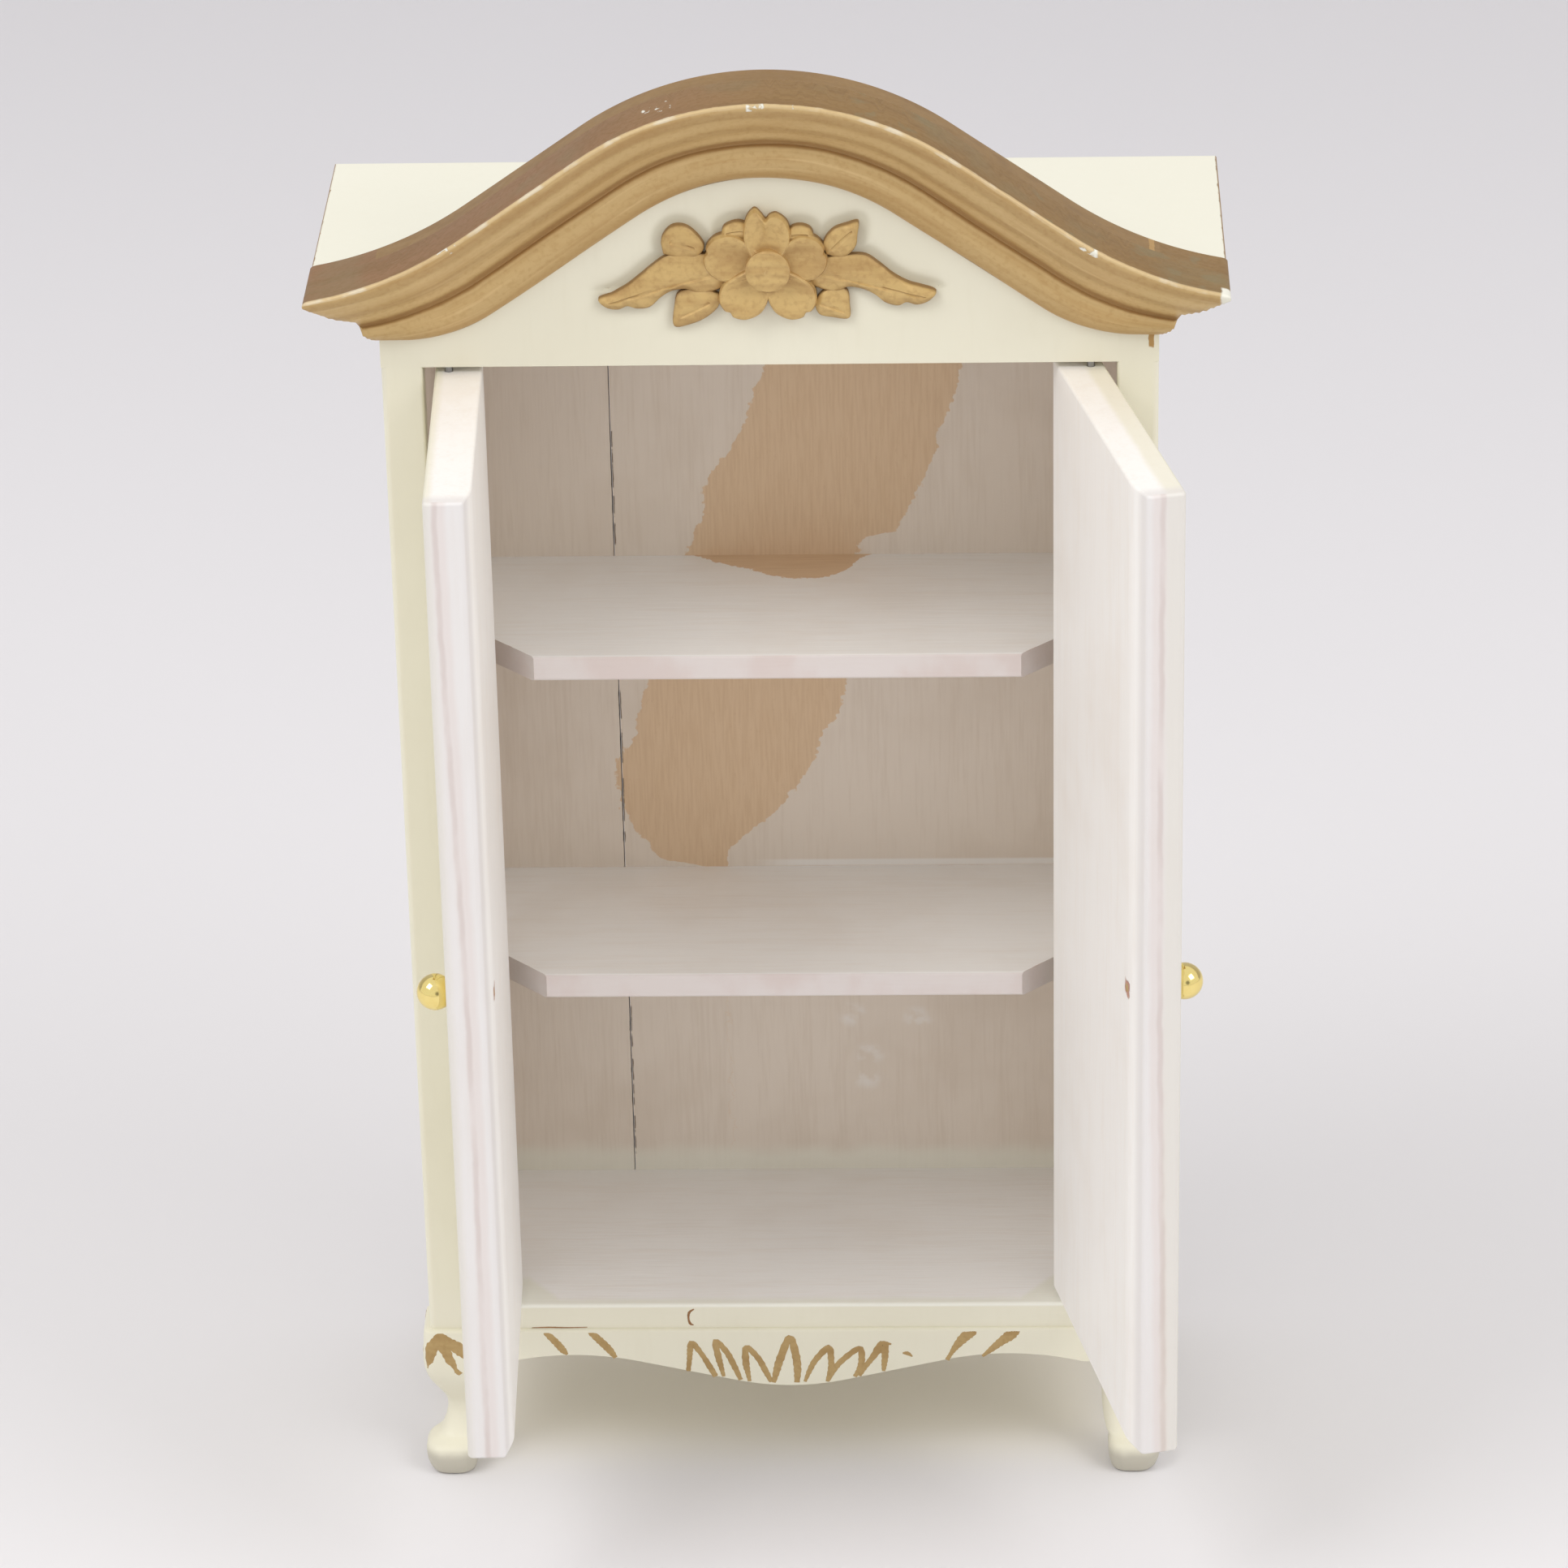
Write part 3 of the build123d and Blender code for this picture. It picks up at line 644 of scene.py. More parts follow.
def top_paint():
    """Cream top, lighter on its upward face as painted light, with gilt ends, rubbed through in specks,
    and wash underneath.
    """
    paint = Paint("cream_top")
    colour, brush = cream_layer(paint)
    # Painted light: the upward face is lighter.
    colour = paint.over(colour, CREAM_PALE_AND_LIT, paint.band(paint.facing[2], 0.3, 0.9), 0.6)
    gilt, _ = gold_grain(paint, BAND, GOLD_DARK_AND_GROOVE_SHADE)
    end = paint.size(paint.wander(paint.x, 0.5, 0.35))
    ends = paint.either(paint.band(paint.size(paint.facing[0]), 0.4, 0.7),
                        paint.both(paint.band(end, top_high[0] - 0.25, top_high[0] - 0.1),
                                   paint.patches(0.46, 0.52, 0.3, 3.0, (0, 1, 0))))
    colour = paint.blend(ends, colour, gilt)
    wash, _ = wash_layer(paint, LONG)
    under = paint.both(paint.band(paint.facing[2], -0.5, -0.8),
                       paint.band(paint.size(paint.x), half_width, half_width - 0.5))
    colour = paint.blend(under, colour, wash)
    return cream_finish(paint, colour, brush, 0.0)


LINE_DEPTHS = {              # up the door from 0 to 1, and inwards of its outer face
    "left_door": ((0.0, 2.3), (0.5, 2.3), (1.0, 1.2)),
    "right_door": ((0.0, 1.8), (0.5, 2.6), (1.0, 2.6)),
}
CREAM_REACH = {"left_door": 0.9, "right_door": 2.4}   # of the cream, in from the outer face


def door_paint(name, side, joint):
    """Cream outside, wash inside, painted shade near the free edge, and a worn pinkish line along it.
    """
    paint = Paint(name)
    joints = frame["record"]["behaviour"]["joints"]
    hinge = next(row for row in joints if row["name"] == joint)
    angle = math.radians(-hinge["range_deg"][0])
    pin = Vector(hinge["pos_m"]) / MM
    reach = (-side * math.cos(angle), -math.sin(angle), 0.0)
    outwards = (-reach[1] * side, reach[0] * side, 0.0)
    across = paint.along(reach, tuple(pin))
    out = paint.along(outwards, tuple(pin))
    cream_side, brush = cream_layer(paint)
    wash, fibre = wash_layer(paint, TALL)
    low, high = (corner[2] for corner in box_mm(name))
    depth = paint.curve(paint.band(paint.z, low, high), LINE_DEPTHS[name], 0.0, 1.0, 0.0, 4.0)
    inward = paint.minus(DOOR_FACE, out)
    below = paint.wander(paint.minus(inward, depth), 0.25, 0.25)
    edging = paint.blend(0.3, cream_side, wash)
    inward = paint.wander(inward, 0.25, 0.25)
    colour = paint.blend(paint.band(inward, CREAM_REACH[name] - 0.6, CREAM_REACH[name] + 0.4),
                         edging, wash)
    colour = paint.blend(paint.band(out, DOOR_FACE - 0.35, DOOR_FACE - 0.1), colour, cream_side)
    edge = paint.band(across, FREE_EDGE - 0.6, FREE_EDGE - 0.25)
    # Painted shade near the free edge.
    rim = paint.band(across, FREE_EDGE - 2.6, FREE_EDGE - 0.8)
    colour = paint.over(colour, EDGE_PAINTED_SHADE, rim, 0.6)
    broken = paint.patches(0.25, 0.6, 0.2, 4.0, (1, 1, 0.4))
    line = paint.both(edge, paint.near(below, 0.1, 0.1, 0.4), broken)
    colour = paint.over(colour, LINE_BROWN, line, 0.22)
    rub = paint.both(edge, paint.near(below, 0.5, 0.4, 0.8))
    colour = paint.over(colour, WOOD_PINK, rub, 0.2)
    inner = paint.band(out, DOOR_INNER + 0.4, DOOR_INNER + 0.1)
    nick = paint.both(inner, paint.near(paint.wander(across, 1.2, 0.5), KNOB_REACH, 0.75, 0.25),
                      paint.near(paint.wander(paint.z, 1.2, 0.6), knob_height, 0.8, 0.25))
    colour = paint.over(colour, NICK_BROWN, nick, 0.85)
    worn = nicks(paint, 0.3, 0.7)
    colour = paint.over(colour, WOOD_PINK, worn, 0.5)
    paint.bump((fibre, 0.02), (nick, -0.15))
    return paint.finish(colour, brush, 0.2, 0.4)


def leg_finish():
    """Cream paint, darker round the foot: painted shade near the floor."""
    paint = Paint("cream_leg")
    colour, brush = cream_layer(paint)
    # Painted shade: the paint darkens towards the floor round the foot.
    foot = paint.band(paint.wander(paint.z, 0.3, 0.5), 4.2, 2.4)
    colour = paint.over(colour, FOOT_PAINTED_SHADE, foot, 0.9)
    return cream_finish(paint, colour, brush, nicks(paint, 0.3, 0.78))


def brass(name):
    paint = Paint(name)
    cloud = paint.noise(1.2, 3.0)
    paint.bump((paint.noise(3.0, 2.0), 0.006))
    colour = paint.blend(cloud, srgb(253, 235, 160), srgb(246, 221, 136))
    return paint.finish(colour, cloud, 0.06, 0.06, 1.0)


def steel(name):
    paint = Paint(name)
    drawn = paint.noise(3.0, 3.0, (1, 1, 0.1))
    paint.bump((drawn, 0.01))
    colour = paint.blend(drawn, srgb(170, 170, 172), srgb(140, 140, 142))
    return paint.finish(colour, roughness=0.35, metallic=1.0)


cream = cream_paint("cream_paint")
leg_paint = leg_finish()
cornice_gold = cornice_paint()
spray_gold = carving_gold()
stroke_gold = plain_gold("gold_stroke", srgb(184, 156, 106), srgb(160, 128, 80))
scratch_brown = plain_gold("gold_scratch", srgb(160, 118, 78), srgb(134, 96, 60))
pediment_paint = pediment_finish()
back_wash = back_paint()
side_finish = side_paint()
finishes = {
    "cream_paint": cream,
    "white_wash": wash_paint("white_wash", LONG),
    "gold_paint": plain_gold("gold_paint"),
    "brass": brass("brass"),
    "pin_steel": steel("pin_steel"),
}
node_finishes = {
    "back_board_narrow": back_wash,
    "back_board_wide": back_wash,
    "upper_shelf": shelf_paint("white_wash_upper", True),
    "lower_shelf": shelf_paint("white_wash_lower", False),
    "floor_board": floor_paint(),
    "left_side_panel": side_finish,
    "right_side_panel": side_finish,
    "top_board": top_paint(),
    "left_door": door_paint("left_door", -1, "left_door_hinge"),
    "right_door": door_paint("right_door", 1, "right_door_hinge"),
}
for row in frame["record"]["subparts"]:
    finish = node_finishes.get(row["node"], finishes[row["material_slot"]])
    for holder in nodes[row["node"]].material_slots:
        holder.material = finish


# Cornice: a moulding that runs over the arch, with its ends mitred round the sides

TOP_ARCH = (apex, 36.7, 45.1, 9.8)              # apex, crown radius, sweep radius, slope at the end
GROOVE_ARCH = (apex - 6.65, 30.1, 34.4, 0.0)
LOWER_ARCH = (apex - 11.8, 26.0, 18.2, 0.0)
FLANK = math.radians(35)
LOWER_FOOT = 41.93

UPPER_SECTION = (  # forward of the board, fraction of the way down to the groove
    (7.6, 0.0), (7.78, 0.008), (7.88, 0.03), (7.85, 0.07), (7.62, 0.14), (7.1, 0.25), (6.4, 0.37),
    (5.5, 0.51), (4.5, 0.66), (3.6, 0.79), (2.9, 0.89), (2.45, 0.95), (2.2, 1.0))
LOWER_SECTION = (  # forward of the board, fraction from the groove to the lower edge
    (2.2, 0.03), (2.45, 0.06), (2.65, 0.12), (2.75, 0.22), (2.68, 0.36), (2.45, 0.5), (2.05, 0.64),
    (1.55, 0.77), (1.0, 0.89), (0.45, 0.97), (0.0, 1.0))
END_DROP = (  # outward of the side, height of the underside below the end of the arch
    (0.0, 7.8), (0.8, 7.3), (1.5, 6.5), (1.95, 5.5), (2.1, 4.7), (2.5, 4.35), (4.0, 3.7), (5.6, 2.7),
    (6.8, 1.6), (7.5, 1.0), (7.8, 0.75), (7.9, 0.6))
END_ROUND = ((7.3, 0.0), (7.7, 0.1), (7.9, 0.35))
WAVE = 0.07                 # unevenness of the hand-cut moulding


def arch_height(x, arch, foot):
    """Height of an arched line: round crown, straight flank, then a hollow sweep to its foot."""
    top, crown, sweep, end = arch
    end = math.radians(end)
    x = abs(x)
    crown_end = crown * math.sin(FLANK)
    sweep_start = foot - sweep * (math.sin(FLANK) - math.sin(end))
    flank_top = top - crown * (1 - math.cos(FLANK))
    if x <= crown_end:
        return top - crown + math.sqrt(crown**2 - x**2)
    if x <= sweep_start:
        return flank_top - math.tan(FLANK) * (x - crown_end)
    sweep_top = flank_top - math.tan(FLANK) * (sweep_start - crown_end)
    turn = math.asin(min(1.0, max(0.0, (foot - x) / sweep + math.sin(end))))
    return sweep_top - sweep * (math.cos(turn) - math.cos(FLANK))


def top_line(x):
    return arch_height(x, TOP_ARCH, cornice_half)


def groove_line(x):
    return arch_height(x, GROOVE_ARCH, cornice_half)


def lower_line(x):
    return arch_height(x, LOWER_ARCH, LOWER_FOOT) if abs(x) < LOWER_FOOT else member_low


def cornice_section(x, back):
    """Loop of (y, z) points of the cornice at x, starting at the back of its top."""
    top, groove, lower = top_line(x), groove_line(x), lower_line(x)
    beyond = abs(x) - half_width
    lid, floor = top, -math.inf
    if beyond > 0:
        lid = top - np.interp(beyond, *zip(*END_ROUND))
        floor = min(board_top - np.interp(beyond, *zip(*END_DROP)), lid - 0.2)
    upper = smooth_curve(UPPER_SECTION, 3)
    under = smooth_curve(LOWER_SECTION, 3)
    line = [(a, top + (groove - top) * t) for a, t in upper]
    line += [(a, groove + (lower - groove) * t) for a, t in under]
    loop = [(back, lid), (0.0, lid)]
    reach = line[0][0]
    for a, z in line:
        wave = WAVE * math.sin(0.31 * x + a) * math.sin(0.13 * x - 1.0)
        if z < floor:
            z, a = floor, min(a, reach)
        else:
            z += wave * (a < 7)
        reach = a
        loop.append((-max(a, 0.0), min(z, lid)))
    loop += [(0.0, max(floor, lower)), (back, max(floor, lower))]
    return loop


def cornice():
    """Sections from end to end, doubled at the corners where the ends turn back to the board."""
    inner = list(np.linspace(0, half_width, 66))
    outer = [half_width + e for e in (0.0, 0.4, 0.8, 1.2, 1.6, 2.0, 2.8, 3.6, 4.4, 5.2, 6.0, 6.6,
                                      7.1, 7.4, 7.6, 7.75, 7.85)]
    stations = [(-x, stock) for x in reversed(outer)] + [(-x, 0.0) for x in reversed(inner)]
    stations += [(x, 0.0) for x in inner[1:]] + [(x, stock) for x in outer]
    rings = [[(x, y, z) for y, z in cornice_section(x, back)] for x, back in stations]
    upper = smooth_curve(UPPER_SECTION, 3)
    under = smooth_curve(LOWER_SECTION, 3)
    across = [-1.4, -1.0] + [t for _, t in upper] + [1 + t for _, t in under] + [2.0, 2.0]
    piece = new_piece("cornice", *loft(rings), cornice_gold, 50,
                      [("across", across * len(stations))])
    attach(piece, "carcass")
    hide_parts("arched_cornice")


# Carved spray: leaves and petals, each a shallow cushion of wood with its own outline

SUNK = 0.4                  # how far the carving's lobes reach into the board


def lobe(outline, spine, profile, along=None):
    """Closed mesh of one leaf or petal, standing forward of the pediment.

    Outline and spine are in (x, z). Profile gives (fraction of the way to the spine, height)
    from the edge inwards, and along raises the height by a function of the place."""
    edge = smooth_curve(list(outline) + [outline[0]], 5)[:-1]
    start, end = np.array(spine[0], float), np.array(spine[-1], float)
    span = end - start
    length = max(float(span @ span), 1e-9)
    share = np.clip((edge - start) @ span / length, 0, 1)
    goal = start + share[:, None] * span
    rings = [[(x, SUNK, z) for x, z in edge]]
    for inward, height in profile:
        ring = edge + (goal - edge) * inward
        rings.append([(x, -height - (along(x, z, inward) if along else 0), z) for x, z in ring])
    return loft(rings)


CENTRE = (0.1, 162.7)       # middle of the flower
PETALS = (  # direction, length, half width, height
    (92, 6.0, -2.8, 1.45), (15, 6.7, 2.8, 1.3), (165, 7.2, 2.9, 1.3),
    (-52, 7.0, 2.75, 1.5), (-129, 7.0, 2.8, 1.5))
PETAL_SHAPE = (  # distance outwards, sideways, as parts of the length and the half width
    (0.1, 0.35), (0.38, 0.82), (0.68, 1.0), (0.93, 0.72), (1.03, 0.26), (1.0, 0.0), (1.03, -0.26),
    (0.93, -0.72), (0.68, -1.0), (0.38, -0.82), (0.1, -0.35))
TOP_PETAL = (
    (0.1, 0.35), (0.38, 0.85), (0.66, 1.0), (0.92, 0.86), (1.08, 0.5), (1.06, 0.2), (0.98, 0.02),
    (1.1, -0.16), (1.2, -0.42), (1.02, -0.76), (0.7, -0.92), (0.38, -0.8), (0.1, -0.35))
LEFT_LEAF = (
    (-4.6, 0.6), (-7.2, 1.5), (-9.6, 1.7), (-11.6, 1.3), (-13.2, 0.2), (-14.6, -1.0), (-16.2, -2.3),
    (-17.8, -3.2), (-19.5, -3.9), (-18.7, -4.9), (-17.3, -5.2), (-16.2, -4.8), (-15.1, -5.1),
    (-13.6, -4.9), (-12.3, -3.7), (-11.0, -2.9), (-9.4, -2.7), (-8.0, -3.2), (-6.0, -2.9), (-4.6, -1.8))
RIGHT_LEAF = (
    (4.6, 0.4), (7.0, 1.1), (9.2, 1.3), (11.2, 1.2), (12.8, 0.1), (14.3, -1.2), (16.0, -2.2),
    (17.6, -2.7), (19.2, -3.3), (18.4, -4.4), (17.0, -4.9), (15.8, -4.6), (14.8, -5.0), (13.4, -4.6),
    (12.2, -3.6), (10.9, -2.9), (9.2, -2.6), (7.8, -3.1), (6.0, -2.8), (4.6, -1.8))
SMALL_LEAVES = (  # outline, spine
    (((-11.9, 1.6), (-12.1, 3.4), (-11.0, 4.9), (-9.4, 5.0), (-8.0, 3.9), (-7.2, 2.4), (-8.2, 1.2),
      (-10.0, 1.1)), ((-11.0, 3.2), (-8.4, 2.4))),
    (((6.7, 1.4), (6.4, 2.9), (7.5, 4.4), (9.0, 5.0), (10.4, 5.3), (10.3, 3.8), (10.0, 2.2),
      (8.6, 1.0)), ((7.3, 2.1), (9.6, 4.3))),
    (((-6.4, -3.0), (-8.4, -2.7), (-10.3, -3.2), (-10.8, -4.8), (-10.9, -7.3), (-9.0, -7.1),
      (-7.2, -6.3), (-5.8, -5.0), (-5.5, -3.6)), ((-6.8, -4.4), (-10.0, -6.0))),
    (((5.2, -4.6), (6.2, -3.2), (8.0, -2.7), (9.1, -3.2), (9.3, -4.9), (9.2, -6.5), (7.4, -6.4),
      (5.8, -6.0)), ((6.0, -4.6), (8.6, -5.6))),
    (((-5.3, 3.6), (-4.9, 4.9), (-3.4, 5.5), (-2.2, 5.0), (-2.4, 3.4), (-3.9, 2.8)),
     ((-4.6, 4.2), (-2.8, 4.4))),
    (((2.2, 3.2), (2.6, 4.6), (3.8, 5.0), (5.0, 4.5), (5.2, 3.2), (3.8, 2.6)),
     ((2.8, 3.9), (4.6, 3.9))),
)
PETAL_PROFILE = ((0.0, 0.75), (0.05, 1.0), (0.14, 1.08), (0.28, 1.0), (0.5, 0.8), (0.75, 0.62),
                 (0.96, 0.55))
LEAF_PROFILE = ((0.0, 0.45), (0.06, 0.62), (0.18, 0.72), (0.4, 0.86), (0.65, 1.02), (0.85, 1.06),
                (0.97, 0.9))


def petal(direction, length, half, height, shape):
    turn = math.radians(direction)
    out = np.array((math.cos(turn), math.sin(turn)))
    aside = np.array((-math.sin(turn), math.cos(turn)))
    outline = [tuple(CENTRE + out * a * length + aside * b * half) for a, b in shape]
    spine = [tuple(CENTRE + out * length * 0.3), tuple(CENTRE + out * length * 0.52)]
    return lobe(outline, spine, [(t, h * height) for t, h in PETAL_PROFILE])


def leaf(outline, spine, height):
    def ribs(x, z, inward):
        """Shallow cuts across the leaf, either side of its spine."""
        return 0.09 * math.sin(2.6 * x + 1.4 * z) * math.sin(math.pi * inward)
    placed = [(x + CENTRE[0], z + CENTRE[1]) for x, z in outline]
    line = [(x + CENTRE[0], z + CENTRE[1]) for x, z in spine]
    return lobe(placed, line, [(t, h * height) for t, h in LEAF_PROFILE], ribs)


RIDGE_GAP = 1.25            # between the cuts across the heart of the flower


def button():
    """Round heart of the flower, cut with three level ridges."""
    rings = []
    turns = np.linspace(0, 2 * math.pi, 48, endpoint=False)
    for radius, height in ((2.55, -SUNK), (2.6, 1.2), (2.55, 1.75), (2.35, 1.98), (2.0, 2.05),
                           (1.6, 2.1), (1.2, 2.12), (0.8, 2.14), (0.4, 2.15)):
        ring = []
        for a in turns:
            x, z = radius * math.cos(a), radius * math.sin(a)
            ridge = 0.09 * math.cos(2 * math.pi * (z + 0.06 * x * x) / RIDGE_GAP) - 0.1
            y = -height - (ridge if height > 1.8 else 0)
            ring.append((CENTRE[0] + x, y, CENTRE[1] - 0.2 + z))
        rings.append(ring)
    return loft(rings)


def joined(name, parts, material, sharp_angle=40):
    """One mesh object from several closed skins."""
    points, faces = [], []
    for some_points, some_faces in parts:
        faces += [tuple(i + len(points) for i in face) for face in some_faces]
        points += some_points
    return new_piece(name, points, faces, material, sharp_angle)


def spray():
    parts = [leaf(LEFT_LEAF, ((-6.0, -0.7), (-18.2, -4.3)), 1.05),
             leaf(RIGHT_LEAF, ((6.0, -0.8), (17.9, -3.9)), 1.05)]
    parts += [leaf(outline, spine, 0.95) for outline, spine in SMALL_LEAVES]
    parts += [petal(*row, PETAL_SHAPE) for row in PETALS[1:]]
    parts.append(petal(*PETALS[0], TOP_PETAL))
    parts.append(button())
    piece = joined("rose_spray", parts, spray_gold, 35)
    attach(piece, "carcass")
    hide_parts("carved_spray")


# Pediment board, with the ground cut back a little round the spray

RECESS = 0.4
RECESS_WIDTH = 1.7
FINE_HALF = 22              # the mesh is fine this far either side of the middle
GROUND = [np.array(smooth_curve(list(rim) + [rim[0]], 4)) + CENTRE
          for rim in (LEFT_LEAF, RIGHT_LEAF) + tuple(row[0] for row in SMALL_LEAVES)]


def recess_depth(x, z):
    """How far the ground is cut back at a place, from its distance to the carving."""
    best = min(float(np.min(np.hypot(rim[:, 0] - x, rim[:, 1] - z))) for rim in GROUND)
    above = 1.0 if z > CENTRE[1] - 3 else 0.45
    return RECESS * above * float(np.clip(1.3 - best / RECESS_WIDTH, 0, 1)) ** 1.5


def pediment():
    """Front face as a grid of columns, then its rim and a flat back."""
    columns = list(np.linspace(-half_width, -FINE_HALF, 30)[:-1])
    columns += list(np.linspace(-FINE_HALF, FINE_HALF, 128))
    columns += list(np.linspace(FINE_HALF, half_width, 30)[1:])
    rows = [0.0, 1.2, 2.4, 3.6, 4.8] + list(np.arange(5.2, 20.2, 0.36))
    fine_top = rows[-1]
    front = []
    for x in columns:
        rise = top_line(x) - opening_top
        share = min(1.0, 0.8 * rise / fine_top)
        heights = [opening_top + r * share for r in rows]
        heights += list(np.linspace(heights[-1], opening_top + rise, 7)[1:])
        front.append([(x, recess_depth(x, z) if abs(x) < FINE_HALF else 0.0, z) for z in heights])
    count = len(front[0])
    points = [p for column in front for p in column]
    faces = [(k * count + i, (k + 1) * count + i, (k + 1) * count + i + 1, k * count + i + 1)
             for k in range(len(columns) - 1) for i in range(count - 1)]
    rim = [k * count for k in range(len(columns))]
    rim += [(len(columns) - 1) * count + i for i in range(1, count)]
    rim += [k * count + count - 1 for k in reversed(range(len(columns) - 1))]
    rim += reversed(range(1, count - 1))
    start = len(points)
    points += [(points[i][0], stock, points[i][2]) for i in rim]
    for k, i in enumerate(rim):
        after = (k + 1) % len(rim)
        faces.append((i, start + k, start + after, rim[after]))
    faces.append(tuple(range(start, start + len(rim))))
    piece = new_piece("pediment", points, faces, pediment_paint, 40)
    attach(piece, "carcass")
    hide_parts("pediment_board")


# Cabriole legs

LEG_SECTIONS = (  # height, proud at the side, proud in front, width, corner radius
    (0.0, 0.0, 1.3, 4.7, 1.8), (0.4, 0.5, 1.8, 5.5, 2.0), (1.6, 0.95, 2.25, 6.2, 2.2),
    (2.8, 1.1, 2.4, 6.45, 2.3), (3.6, 1.05, 2.3, 6.35, 2.25), (4.1, 0.7, 1.9, 5.9, 2.1),
    (4.45, 0.0, 1.1, 5.3, 1.9), (4.9, -0.75, 0.2, 4.9, 1.8), (6.2, -1.3, -0.5, 4.6, 1.7),
    (8.0, -1.6, -0.9, 4.5, 1.6), (9.6, -1.4, -0.7, 4.7, 1.6), (11.4, -0.5, 0.2, 5.5, 1.7),
    (13.0, 0.35, 0.95, 6.5, 1.8), (14.6, 0.85, 1.35, 7.2, 1.8), (16.4, 1.0, 1.4, 7.4, 1.7),
    (18.4, 0.9, 1.1, 7.3, 1.4), (19.9, 0.8, 0.8, 7.2, 1.2), (20.2, 0.7, 0.7, 7.1, 1.15),
    (20.4, 0.4, 0.4, 6.8, 1.0))
REAR_PROUD = 1.1            # how far the rear legs stand behind the body's corner
rear_corner = rear_leg_back - REAR_PROUD


def leg_section(row, side, facing):
    """Ring of a leg: a square with rounded corners, its outer corner set by the table."""
    height, out, forwards, width, corner = row
    reach = forwards if facing < 0 else out
    corner_y = 0.0 if facing < 0 else rear_corner
    x = side * (half_width + out - width / 2)
    y = corner_y + facing * (reach - width / 2)
    flat = width / 2 - corner
    ring = []
    for quarter in range(4):
        for a in np.linspace(0, math.pi / 2, 9):
            turn = quarter * math.pi / 2 + a
            sign_x = 1 if quarter in (0, 3) else -1
            sign_y = 1 if quarter in (0, 1) else -1
            ring.append((x + sign_x * flat + corner * math.cos(turn),
                         y + sign_y * flat + corner * math.sin(turn), height))
    return ring


def leg(name, side, facing):
    rows = smooth_curve(LEG_SECTIONS, 4)
    piece = new_piece(name, *loft([leg_section(row, side, facing) for row in rows]), leg_paint, 50)
    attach(piece, "carcass")
    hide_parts(name.replace("cabriole_", "") + "_leg")


# Gold brushwork on the apron and the knees

PAINT_DEPTH = 0.05
apron_face = apron_low[1]
STROKES = (  # (x, z, width) along each stroke
    ((-31.1, 21.1, 0.25), (-30.2, 19.9, 0.7), (-29.1, 18.6, 0.85), (-28.3, 17.5, 0.8),
     (-27.8, 16.9, 0.3)),
    ((-25.6, 21.0, 0.25), (-24.6, 19.9, 0.75), (-23.5, 18.7, 0.9), (-22.5, 17.5, 0.85),
     (-21.8, 16.4, 0.5)),
    ((-12.8, 14.4, 0.5), (-12.6, 16.2, 0.6), (-12.5, 17.5, 0.7), (-12.2, 18.4, 0.8), (-11.1, 16.9, 0.6),
     (-10.1, 15.0, 0.7), (-9.4, 13.6, 0.6)),
    ((-8.4, 13.6, 0.4), (-8.7, 15.0, 0.6), (-9.0, 16.4, 0.75), (-9.3, 18.7, 0.7), (-8.0, 17.2, 0.7),
     (-7.1, 15.2, 0.7), (-6.3, 13.1, 0.5)),
    ((-5.2, 12.9, 0.4), (-5.4, 14.2, 0.6), (-5.6, 15.6, 0.8), (-5.5, 17.8, 0.7), (-4.1, 16.3, 0.7),
     (-3.2, 14.4, 0.7), (-2.5, 12.8, 0.5)),
    ((-2.2, 12.7, 0.5), (-1.8, 14.4, 0.8), (-1.3, 16.2, 0.9), (-0.1, 19.2, 0.8), (0.6, 16.8, 0.9),
     (0.8, 14.6, 0.85), (0.7, 12.7, 0.6)),
    ((1.7, 12.8, 0.35), (2.3, 14.4, 0.6), (3.1, 16.0, 0.7), (4.7, 17.7, 0.8), (5.0, 15.9, 0.7),
     (4.9, 14.4, 0.65), (4.5, 12.8, 0.45)),
    ((4.6, 12.9, 0.35), (5.3, 14.4, 0.6), (6.3, 15.8, 0.7), (8.5, 17.6, 0.7), (8.8, 16.0, 0.75),
     (8.5, 14.6, 0.65), (7.9, 13.5, 0.45)),
    ((8.5, 13.6, 0.4), (9.2, 14.9, 0.6), (10.1, 16.2, 0.7), (11.4, 18.1, 1.1), (11.7, 16.8, 0.8),
     (11.6, 15.4, 0.65), (11.5, 14.3, 0.4)),
    ((10.8, 18.1, 0.3), (11.5, 18.35, 0.6), (12.5, 18.2, 0.2)),
    ((13.9, 16.9, 0.2), (14.5, 16.85, 0.5), (15.1, 16.4, 0.15)),
    ((19.4, 15.9, 0.5), (19.9, 16.8, 0.5), (20.5, 17.8, 0.8), (21.6, 19.2, 1.2), (22.6, 20.0, 1.0),
     (22.9, 20.7, 0.35)),
    ((23.8, 16.4, 0.3), (24.9, 17.4, 0.7), (26.1, 18.5, 1.0), (27.3, 19.5, 1.3), (28.1, 20.4, 0.9),
     (28.1, 20.9, 0.3)),
)
KNEE_STROKES = (  # on the front of the left leg
    ((-43.5, 20.4, 0.3), (-44.1, 19.2, 1.0), (-44.8, 17.6, 1.6), (-45.35, 15.2, 0.3)),
    ((-43.5, 20.2, 0.3), (-43.2, 18.9, 1.5), (-42.5, 17.0, 1.2), (-41.6, 15.2, 0.8),
     (-41.1, 14.6, 0.65)),
    ((-43.4, 20.2, 0.3), (-42.5, 19.2, 0.9), (-41.2, 18.1, 1.6), (-39.8, 17.0, 1.2)),
)
STROKE_SPREAD = 1.12        # the brush spreads by this over the widths above
THINNEST = 0.08
WRAP = 7.0                  # the knee strokes are painted again this far round the leg


